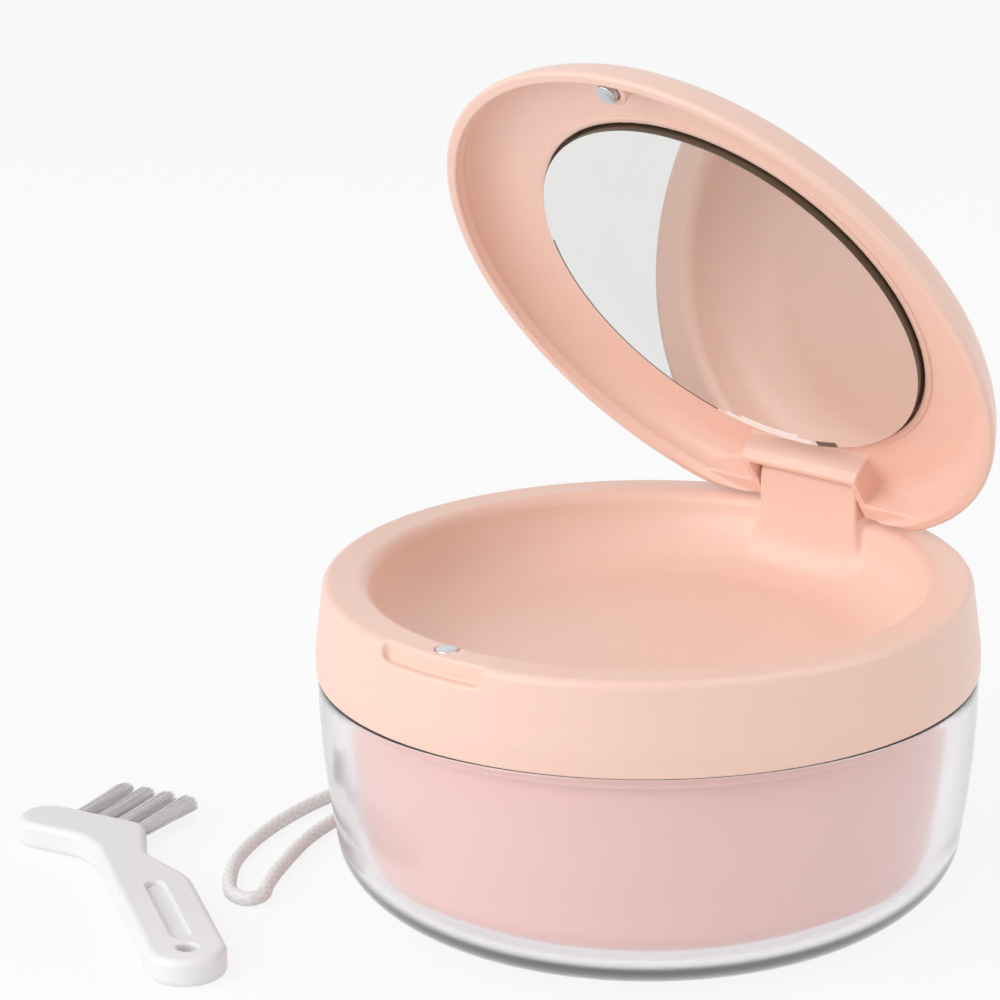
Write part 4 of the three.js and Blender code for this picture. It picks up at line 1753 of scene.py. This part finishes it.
@dataclass(frozen=True)
class Lid:
    """Hinged lid with its mirror and its magnet, described as it lies when closed."""

    radius: float = 42.85
    land: float = 46.9
    land_width: float = 1.25
    edge_round: float = 0.4
    inner_face: float = 52.1
    wall_fillet: float = 4.0
    wall_draft: float = 0.4
    pocket_radius: float = 29.8
    pocket_floor: float = 53.5
    lip_width: float = 1.0
    lip_rise: float = 0.35
    top: float = 55.7
    top_radius: float = 31.0
    top_edge: float = 0.5
    top_step: float = 1.1
    groove_drop: float = 1.25
    chord_y: float = 39.6
    pad_half: float = 22.0
    pad_depth: float = 2.9
    notch_front: float = 32.9
    heel_radius: float = 3.8
    boss_wall: float = 1.0
    boss_edge: float = 0.1
    boss_fillet: float = 0.5
    hood_edge: float = 0.4
    hood_fillet: float = 0.5
    hood_round: float = 0.35
    chord_edge: float = 0.35
    outside_edge: float = 0.6
    lip_edge: float = 0.2
    soft_edge: float = 0.3
    fine_edge: float = 0.15
    run_in: float = 1.0
    cover: float = 0.9
    spare: float = 6.0
    magnet_proud: float = 0.2
    mirror_radius: float = 29.5
    mirror_face: float = 50.7
    mirror_thickness: float = 1.8
    mirror_sides: int = 240
    mirror_edge: float = 0.08
    mirror_crisp: float = 25.0
    # flat rings on the rim of the mirror's face, which carry the painted highlight and the painted
    # dark line and dash
    rim_rings: tuple[float, ...] = (0.3, 0.9, 1.5)
    first_rim_ring: int = 4
    # painted reflection: angles of the dark line on the outer rim ring and of the dark dash on the
    # two outer rings, standing in for the bevel's dark reflection
    painted_line_degrees: tuple[float, float] = (117.0, 188.0)
    # painted highlight: angles of its pale sector on each rim ring
    painted_glint_degrees: tuple[tuple[float, float], ...] = ((84.5, 117.0), (85.5, 114.5), (89.5, 109.5))
    painted_dash_degrees: tuple[float, float] = (76.0, 84.5)
    step: float = 0.3
    back: tuple[Point2, ...] = (
        (42.8, 0.9), (42.5, 1.5), (42.1, 2.3), (41.6, 3.3), (40.9, 4.2),
        (40.0, 5.2), (37.8, 6.5), (34.8, 7.4), (32.8, 7.7),
    )
    hood: tuple[Point2, ...] = (
        (32.3, 46.9), (31.4, 49.1), (31.0, 52.0), (31.0, 62.0),
        (46.0, 62.0), (46.0, 48.4), (38.0, 48.3), (32.3, 46.9),
    )
    hinge: Hinge = Hinge()
    magnets: Magnets = Magnets()

    def outside(self) -> list[Point2]:
        """Outside of the lid, from its land up to the flat top.

        Returns:
            Points of radius and height, in order.
        """
        corner = (self.radius - self.edge_round, self.land + self.edge_round)
        raised = [(radius, self.land + rise) for radius, rise in self.back]
        return [
            *arc(corner, (self.edge_round, self.edge_round), -90, 0, steps=8),
            *softened([
                *raised,
                (self.top_radius + self.top_step, self.top - self.groove_drop),
                (self.top_radius + self.top_edge, self.top - self.top_edge),
                (self.top_radius, self.top),
                (self.top_radius - self.run_in, self.top),
            ], self.outside_edge),
            (PAST_AXIS, self.top),
        ]

    def section(self) -> list[Point2]:
        """Closed section of the shell.

        Returns:
            Points of radius and height, in order.
        """
        inner = self.radius - self.edge_round - self.land_width
        fillet, edge = self.wall_fillet, self.soft_edge
        lip = self.inner_face - self.lip_rise
        return [
            (PAST_AXIS, self.pocket_floor),
            *softened([
                (self.pocket_radius - self.run_in, self.pocket_floor),
                (self.pocket_radius, self.pocket_floor),
                (self.pocket_radius, lip),
                (self.pocket_radius + self.lip_width, lip),
                (self.pocket_radius + self.lip_width, self.inner_face),
                (self.pocket_radius + self.lip_width + self.run_in, self.inner_face),
            ], self.lip_edge),
            *arc(
                (inner - self.wall_draft - fillet, self.inner_face - fillet),
                (fillet, fillet),
                90, 0, steps=16,
            ),
            *arc((inner + edge, self.land + edge), (edge, edge), 180, 270, steps=6),
            *self.outside(),
        ]

    def solid(self) -> Solid:
        """Signed distance of the lid moulding when closed.

        Returns:
            The distance as a function of places.
        """
        ring = Outline(self.section())
        filled = Outline([(PAST_AXIS, self.land), *self.outside()])
        front = Outline(softened(self.hood, self.hood_round)[:-1])
        hinge, magnets = self.hinge, self.magnets

        def distance(x: Field, y: Field, z: Field) -> Field:
            """Distance at places, below zero inside.

            Args:
                x: Places along X.
                y: Places along Y.
                z: Places along Z.

            Returns:
                The distances.
            """
            radius = np.hypot(x, y)
            body = ring(radius, z)
            under = filled(radius, z) + self.cover
            spot = np.hypot(x, y - magnets.y)
            lowest = self.land + self.magnet_proud - z
            boss = meet(spot - magnets.radius - self.boss_wall, lowest, self.soft_edge)
            body = join(body, meet(boss, under, self.boss_edge), self.boss_fillet)
            depth = slab(y, self.chord_y - self.pad_depth, self.chord_y + self.spare)
            pad = meet(slab(x, -self.pad_half, self.pad_half), depth, self.soft_edge)
            pad = meet(pad, slab(z, self.land, self.top + self.spare), self.soft_edge)
            body = join(body, meet(pad, under, self.soft_edge), self.soft_edge)
            hood = meet(front(y, z), np.abs(x) - hinge.ear_outer, self.hood_edge)
            body = join(body, meet(hood, under, self.soft_edge), self.hood_fillet)
            body = meet(body, y - self.chord_y, self.chord_edge)
            half = hinge.notch_width / 2
            notch = meet(slab(x, -half, half), self.notch_front - y, self.hood_edge)
            body = meet(body, -notch, self.soft_edge)
            away = hinge.away(y, z)
            heel = np.maximum(np.maximum(hinge.y - y, z - hinge.z), self.heel_radius - away)
            body = meet(body, -heel, self.fine_edge)
            bore = np.maximum(away - hinge.bore_radius, np.abs(x) - hinge.bore_end)
            body = np.maximum(body, -bore)
            pocket = np.maximum(
                spot - magnets.radius - magnets.pocket_gap,
                z - self.land - magnets.thickness - magnets.pocket_gap,
            )
            return meet(body, -pocket, self.fine_edge)

        return distance

    def glass(self) -> Skin:
        """Mirror disc with a ground edge, darkened as painted shade, and narrow flat rings along
        its rim that carry a painted highlight and a painted dark line and dash.

        Returns:
            The disc's skin, as it lies when closed.
        """
        face, back = self.mirror_face, self.mirror_face + self.mirror_thickness
        edge, rim = self.mirror_edge, self.mirror_radius - self.mirror_edge
        return lathe([
            (0.0, back),
            (rim, back),
            (self.mirror_radius, back - edge),
            (self.mirror_radius, face + edge),
            (rim, face),
            *[(rim - width, face) for width in self.rim_rings],
            (0.0, face),
        ], self.mirror_sides)

    def glass_finish(self, number: int) -> int:
        """Finish of a face of the mirror: silver, the ground edge darkened as painted shade, or the
        painted highlight on the rim.

        Args:
            number: The face's number, counted round each ring from the back.

        Returns:
            0 for silver, 1 for the ground edge and the painted dark line and dash, and 2 for the
            painted highlight.
        """
        ring, side = divmod(number, self.mirror_sides)
        degrees = 360.0 * (side + 0.5) / self.mirror_sides
        ring -= self.first_rim_ring
        if ring < 0:
            return 1

        def within(span: tuple[float, float]) -> bool:
            """True where the face lies between the two angles."""
            return span[0] < degrees < span[1]

        # painted highlight: the pale sector on the rim rings
        if ring < len(self.painted_glint_degrees) and within(self.painted_glint_degrees[ring]):
            return 2
        # painted reflection: the dark line and dash take the edge's dark colour on flat rings
        painted_dark = (ring == 0 and within(self.painted_line_degrees)) or (ring < 2 and within(self.painted_dash_degrees))
        return 1 if painted_dark else 0

    def build(self, finishes: Finishes) -> None:
        """Make the lid, its mirror and its magnet.

        Args:
            finishes: Finishes of the case.
        """
        low = (-self.radius, -self.radius, self.land)
        high = (self.radius, self.chord_y, self.top)
        moulding, normals = net_surface(self.solid(), low, high, self.step)
        opened, peach = self.hinge.opened_skin(moulding), finishes.peach.material()
        settle(
            mesh_piece("lid_moulding", opened, [peach], self.hinge.swung(normals)),
            "lid", "peach_plastic", "lid_shell",
        )
        coats = [coat.material() for coat in (finishes.mirror, finishes.edge, finishes.painted_glint)]
        glass = settle(
            mesh_piece(
                "mirror_disc", self.hinge.opened_skin(self.glass()), coats, turn=self.glass_finish
            ),
            "lid", "mirror", "mirror_glass",
        )
        glass.data.set_sharp_from_angle(angle=math.radians(self.mirror_crisp))
        disc = self.hinge.opened_skin(self.magnets.disc(self.land))
        settle(
            mesh_piece("lid_magnet_disc", disc, [finishes.magnet.material()]),
            "lid", "magnet_steel", "lid_magnet",
        )


@dataclass(frozen=True)
class Strap:
    """Thin tether from the eyelet, moulded bead and thick wrist loop."""

    tether_radius: float = 0.5
    hitch_radius: float = 0.55
    loop_radius: float = 1.0
    thin_sides: int = 12
    thick_sides: int = 16
    bar_y: float = 52.0
    bar_z: float = 50.3
    bar_width: float = 2.8
    bar_height: float = 2.6
    ring_gap: float = 0.3
    hitch_start: float = -0.02
    hitch_lead: float = 0.25
    knot_reach: float = 3.51
    knot_size: float = 0.33
    knot_depth: float = 1.1
    knot_guide: Point3 = (1.0, 0.3, 0.2)
    bead_length: float = 25.3
    bead_hole: float = 0.8
    bead_hole_depth: float = 2.0
    hole_edge: float = 0.25
    bead_ends: Point2 = (2.4, 23.0)
    bead_start: Point3 = (-5.6, 58.9, 22.8)
    bead_end: Point3 = (-21.8, 57.0, 3.4)
    bead_keys: tuple[Point2, ...] = (
        (0.0, 2.6), (0.35, 3.35), (1.1, 4.0), (2.4, 4.33), (8.0, 4.35),
        (11.4, 5.62), (13.7, 5.8), (16.0, 5.6), (20.0, 4.15), (23.0, 4.05),
        (24.4, 3.75), (25.05, 3.2), (25.3, 2.4),
    )
    tether: tuple[Point3, ...] = (
        (0.0, 57.3, 50.3), (0.5, 60.1, 48.8), (0.3, 61.7, 44.0),
        (-0.9, 61.8, 37.0), (-2.7, 60.7, 30.5), (-5.3, 59.0, 23.3),
    )
    loop: tuple[Point3, ...] = (
        (-22.2, 58.1, 3.0), (-23.1, 57.8, 2.0), (-27.4, 54.7, 1.1),
        (-35.0, 47.5, 1.1), (-43.3, 38.2, 1.1), (-51.4, 26.0, 1.1),
        (-56.5, 12.3, 1.1), (-58.1, -2.3, 1.1), (-55.8, -16.9, 1.1),
        (-50.9, -28.6, 1.1), (-45.6, -35.2, 1.1), (-42.4, -37.7, 1.1),
        (-39.6, -37.6, 1.1), (-39.2, -35.3, 1.1), (-41.4, -32.0, 1.1),
        (-45.0, -25.3, 1.1), (-49.4, -15.0, 1.1), (-51.8, -2.1, 1.1),
        (-51.0, 11.1, 1.1), (-46.9, 23.8, 1.1), (-40.1, 35.4, 1.1),
        (-32.9, 44.6, 1.1), (-26.1, 52.2, 1.1), (-22.7, 55.6, 2.0),
        (-22.0, 55.8, 3.0),
    )

    def bead_skin(self) -> Skin:
        """Bead with a soft bulge and the hole that the tether enters.

        Returns:
            The bead's skin in its place.
        """
        keys = np.array(self.bead_keys)
        low, high = self.bead_ends
        heights = np.concatenate([
            np.linspace(0, low, 12, endpoint=False),
            np.linspace(low, high, 40, endpoint=False),
            np.linspace(high, self.bead_length, 12),
        ])
        radii = smooth_values(keys[:, 0], keys[:, 1], heights)
        section = [
            (0.0, self.bead_hole_depth),
            (self.bead_hole, self.bead_hole_depth),
            (self.bead_hole, self.hole_edge),
            (self.bead_hole + self.hole_edge, 0.0),
            *zip(radii, heights),
            (0.0, self.bead_length),
        ]
        start, end = Vector(self.bead_start), Vector(self.bead_end)
        turn = (end - start).to_track_quat("Z", "Y").to_matrix().to_4x4()
        return lathe(section, sides=56).moved(Matrix.Translation(start) @ turn)

    def hitch_line(self) -> Field:
        """One turn of cord round the eyelet's outer bar.

        Returns:
            Points in rows.
        """
        reach = math.hypot(self.bar_width, self.bar_height) / 2 + self.ring_gap + self.hitch_radius
        angles = np.radians(np.linspace(0, 360, 49))
        return np.stack([
            self.hitch_start + self.hitch_lead * np.sin(angles / 2),
            self.bar_y + reach * np.cos(angles),
            self.bar_z + reach * np.sin(angles),
        ], 1)

    def knot_line(self) -> Field:
        """Overhand knot behind the hitch, a trefoil in a small ball.

        Returns:
            Points in rows.
        """
        angles = np.linspace(0, 2 * np.pi, 97)
        size = self.knot_size
        return np.stack([
            size * (np.sin(angles) + 2 * np.sin(2 * angles)),
            self.bar_y + self.knot_reach + size * np.sin(3 * angles) * self.knot_depth,
            self.bar_z + size * (np.cos(angles) - 2 * np.cos(2 * angles)),
        ], 1)

    def knot_skin(self) -> Skin:
        """Hitch and knot as one skin of cord.

        Returns:
            The skin of both.
        """
        sides, guide = self.thin_sides, self.knot_guide
        hitch = tube_skin(self.hitch_line(), self.hitch_radius, sides, guide)
        return hitch.add(tube_skin(self.knot_line(), self.tether_radius, sides, guide))

    def build(self, finishes: Finishes) -> None:
        """Make the cords, the knot and the bead.

        Args:
            finishes: Finishes of the case.
        """
        thin, thick = finishes.thin_cord.material(), finishes.cord.material()
        knot_piece = settle(
            mesh_piece("knot_cord", self.knot_skin(), [thin]),
            "collar", "white_cord", "strap_knot",
        )
        bead_piece = settle(
            mesh_piece("bead_moulding", self.bead_skin(), [finishes.white.material()]),
            "collar", "white_plastic", "strap_bead",
        )
        line = smooth_path(self.tether, spacing=0.25)
        tether = settle(
            cord_piece("tether_braid", line, self.tether_radius, thin, self.thin_sides),
            "collar", "white_cord", "tether_cord",
        )
        line = smooth_path(self.loop, spacing=0.4)
        loop = settle(
            cord_piece("loop_braid", line, self.loop_radius, thick, self.thick_sides),
            "collar", "white_cord", "wrist_loop",
        )


def smooth_values(places: Field, values: Field, wanted: Field) -> Field:
    """Smooth curve through values that doesn't overshoot between them.

    Args:
        places: Where the values are, rising.
        values: Values to pass through.
        wanted: Where the curve is read.

    Returns:
        Values of the curve.
    """
    width = np.diff(places)
    rate = np.diff(values) / width
    tangent = np.zeros(len(values))
    for number in range(1, len(values) - 1):
        before, after = rate[number - 1], rate[number]
        if before * after > 0:
            first = 2 * width[number] + width[number - 1]
            second = width[number] + 2 * width[number - 1]
            tangent[number] = (first + second) / (first / before + second / after)
    tangent[0], tangent[-1] = rate[0], rate[-1]
    at = np.clip(np.searchsorted(places, wanted, side="right") - 1, 0, len(width) - 1)
    share = (wanted - places[at]) / width[at]
    return (
        values[at] * (1 + 2 * share) * (1 - share) ** 2
        + tangent[at] * width[at] * share * (1 - share) ** 2
        + values[at + 1] * share**2 * (3 - 2 * share)
        + tangent[at + 1] * width[at] * share**2 * (share - 1)
    )


@dataclass(frozen=True)
class Brush:
    """Small cleaning brush with a slanted head and four tufts."""

    width: float = 10.7
    thickness: float = 4.0
    handle_length: float = 29.5
    neck_width: float = 6.9
    neck_start: float = 38.7
    neck_end: float = 41.0
    head_start: float = 50.5
    head_lip: float = 1.65
    head_width: float = 14.0
    head_depth: float = 8.4
    back_start: float = 44.0
    back_end: float = 5.6
    face_bend: float = 2.2
    back_bend: float = 4.5
    face_share: float = 0.6
    back_share: float = 0.8
    hole_radius: float = 1.35
    hole_inset: float = 4.8
    groove_start: float = 8.0
    groove_length: float = 20.5
    groove_width: float = 2.6
    groove_depth: float = 0.7
    groove_edge: float = 0.25
    hole_edge: float = 0.45
    socket_half: Point2 = (1.45, 1.05)
    socket_depth: float = 0.9
    edge: float = 1.1
    place: Point2 = (-25.2, -61.8)
    lay_angle: float = 147.0
    head_angle: float = 45.0
    tuft_count: int = 4
    tuft_pitch: float = 3.6
    tuft_length: float = 13.6
    tuft_root: float = 0.5
    tuft_half: Point2 = (1.15, 0.9025)
    tuft_flare: float = 0.33
    tuft_curve: float = 1.4
    tuft_reach: float = 1.08
    scatter: float = 0.02
    lean: float = 0.05
    tilt: float = 0.4
    wear: float = 0.5
    unevenness: Point2 = (0.15, 0.35)
    strand_rows: int = 12
    strand_columns: int = 13
    strand_radius: float = 0.075
    strand_sides: int = 5
    strand_tip: float = 0.35
    strand_knots: tuple[float, ...] = (0.0, 0.25, 0.5, 0.75, 0.97, 1.0)
    step: float = 0.25

    def head_point(self, along: float, back: float) -> Point2:
        """Place in the head, along its slanted face and back from it.

        Args:
            along: Distance along the face.
            back: Distance behind the face.

        Returns:
            Its X and Y, as the brush lies along X.
        """
        lip = self.neck_width - self.width / 2 + self.head_lip
        cosine = math.cos(math.radians(self.head_angle))
        sine = math.sin(math.radians(self.head_angle))
        return (
            self.head_start + along * cosine - back * sine,
            -lip + along * sine + back * cosine,
        )

    def outline(self) -> list[Point2]:
        """Outline of the handle, its narrow neck and its head.

        Returns:
            Its points in order.
        """
        half = self.width / 2
        neck_edge = half - self.neck_width
        cap_radius = self.head_depth / 2
        cap = self.head_point(self.head_width, cap_radius)
        corners = softened([
            (self.handle_length / 2, -half),
            (self.handle_length, -half),
            (self.neck_start, neck_edge),
            (self.neck_end, neck_edge),
            self.head_point(0.0, 0.0),
            self.head_point(self.face_share * self.head_width, 0.0),
        ], self.face_bend, steps=9)
        spine = softened([
            self.head_point(self.back_share * self.head_width, self.head_depth),
            self.head_point(self.back_end, self.head_depth),
            (self.back_start, half),
            (self.handle_length / 2, half),
        ], self.back_bend, steps=9)
        first, last = self.head_angle - 90, self.head_angle + 90
        tip = arc(cap, (cap_radius, cap_radius), first, last, steps=20)
        return [*arc((half, 0.0), (half, half), 90, 270, steps=24), *corners, *tip, *spine]

    def solid(self) -> Solid:
        """Signed distance of the handle, lying along X.

        Returns:
            The distance as a function of places.
        """
        shape = Outline(self.outline(), margin=3.0, step=0.06)
        holes = [self.head_point(self.tuft_along(number), 0.0) for number in range(self.tuft_count)]
        turn = math.radians(self.head_angle)

        def distance(x: Field, y: Field, z: Field) -> Field:
            """Distance at places, below zero inside.

            Args:
                x: Places along X.
                y: Places along Y.
                z: Places along Z.

            Returns:
                The distances.
            """
            body = meet(shape(x, y), slab(z, 0.0, self.thickness), self.edge)
            radius = self.groove_width / 2
            first = self.groove_start + radius
            last = self.groove_start + self.groove_length - radius
            groove = np.hypot(x - np.clip(x, first, last), y) - radius
            cut = np.maximum(groove, self.thickness - self.groove_depth - z)
            body = meet(body, -cut, self.groove_edge)
            hole = np.hypot(x - self.hole_inset, y) - self.hole_radius
            body = meet(body, -hole, self.hole_edge)
            rise = (z - self.thickness / 2) / self.socket_half[1]
            for centre_x, centre_y in holes:
                along = (x - centre_x) * math.cos(turn) + (y - centre_y) * math.sin(turn)
                back = -(x - centre_x) * math.sin(turn) + (y - centre_y) * math.cos(turn)
                mouth = np.hypot(along / self.socket_half[0], rise) - 1.0
                body = np.maximum(body, -np.maximum(mouth, np.abs(back) - self.socket_depth))
            return body

        return distance

    def tuft_along(self, number: int) -> float:
        """Middle of a tuft along the head's face."""
        return self.head_width / 2 + (number - (self.tuft_count - 1) / 2) * self.tuft_pitch

    def tuft(self, number: int, rng: np.random.Generator) -> Skin:
        """Bristles of one tuft, each a fine curved rod with a rounded tip.

        Args:
            number: The tuft's number, from 0.
            rng: Source of small differences.

        Returns:
            The tuft's skin.
        """
        skin = Skin([], [])
        middle = self.tuft_along(number)
        for row in range(self.strand_rows):
            for column in range(self.strand_columns):
                v = 2 * (row + 0.5) / self.strand_rows - 1
                u = 2 * (column + 0.5 + 0.5 * (row % 2) - 0.25) / self.strand_columns - 1
                if u * u + v * v > self.tuft_reach:
                    continue
                u, v = u + rng.normal(0, self.scatter), v + rng.normal(0, self.scatter)
                skin.add(self.strand(middle, u, v, rng))
        return skin

    def strand(self, middle: float, u: float, v: float, rng: np.random.Generator) -> Skin:
        """One bristle.

        Args:
            middle: Middle of its tuft along the head's face.
            u: Its share of the tuft's width, from -1 to 1.
            v: Its share of the tuft's height, from -1 to 1.
            rng: Source of its small differences.

        Returns:
            The bristle's skin.
        """
        least, more = self.unevenness
        length = self.tuft_length - more * abs(rng.normal(0, self.wear)) - least
        lean = rng.normal(0, self.lean)
        across, rise = self.tuft_half[0] * u, self.tuft_half[1] * v
        line = []
        for share in self.strand_knots:
            spread = 1 + self.tuft_flare * share**self.tuft_curve
            sway = lean * share**2
            along = middle + across * spread + sway
            x, y = self.head_point(along, self.tuft_root - share * (length + self.tuft_root))
            line.append((x, y, self.thickness / 2 + rise * spread + sway * self.tilt))
        spots = np.array(line)
        direction = spots[-1] - spots[0]
        direction /= np.linalg.norm(direction)
        side = np.cross(direction, (0.0, 0.0, 1.0))
        side /= np.linalg.norm(side)
        other = np.cross(direction, side)
        radii = [self.strand_radius] * (len(spots) - 1) + [self.strand_radius * self.strand_tip]
        points: list[Point3] = []
        for spot, radius in zip(spots, radii):
            points += ring_points(spot, side, other, radius, self.strand_sides)
        return Skin(points, tube_faces(len(spots), self.strand_sides))

    def laid(self, points: Field) -> Field:
        """Points of the brush, laid in its place on the table.

        Args:
            points: Points in rows.

        Returns:
            The laid points.
        """
        angle = math.radians(self.lay_angle)
        x, y = points[:, 0], points[:, 1]
        return np.stack([
            self.place[0] + x * math.cos(angle) - y * math.sin(angle),
            self.place[1] + x * math.sin(angle) + y * math.cos(angle),
            points[:, 2],
        ], 1)

    def build(self, finishes: Finishes) -> None:
        """Make the handle and its tufts.

        Args:
            finishes: Finishes of the case.
        """
        outline = np.array(self.outline())
        low = (*outline.min(0), 0.0)
        high = (*outline.max(0), self.thickness)
        moulding, normals = net_surface(self.solid(), low, high, self.step)
        handle = Skin(self.laid(moulding.points), moulding.faces)
        swung = self.laid(normals) - self.laid(np.zeros((1, 3)))
        settle(
            mesh_piece("handle_moulding", handle, [finishes.white.material()], swung),
            "brush", "white_plastic", "brush_handle",
        )
        nylon = finishes.nylon.material()
        rng = np.random.default_rng(7)
        for number in range(self.tuft_count):
            tuft = self.tuft(number, rng)
            laid = Skin(self.laid(np.array(tuft.points)), tuft.faces)
            settle(
                mesh_piece(f"bristles_{number + 1}", laid, [nylon]),
                "brush", "nylon", f"brush_tuft_{number + 1}",
            )


def dress_tape(finishes: Finishes) -> None:
    """Give the hidden tape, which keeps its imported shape, its own finish.

    Args:
        finishes: Finishes of the case.
    """
    tape = bpy.data.objects["mirror_tape"]
    tape.data.materials.clear()
    tape.data.materials.append(finishes.tape.material())


def main() -> None:
    """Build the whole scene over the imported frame."""
    logging.basicConfig(level=logging.INFO, format="%(name)s %(message)s")
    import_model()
    cad_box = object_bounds()
    finishes = Finishes()
    view = Viewpoint()
    view.build()
    Strap().build(finishes)
    Tank().build(finishes)
    Collar().build(finishes)
    Lid().build(finishes)
    Brush().build(finishes)
    dress_tape(finishes)
    Studio(view).build()
    scene = bpy.context.scene
    scene.view_settings.view_transform = "Standard"
    sizes = {"cad": cad_box, "visual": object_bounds()}
    json.dumps({name: np.array(box).tolist() for name, box in sizes.items()})


if __name__ == "__main__":
    main()
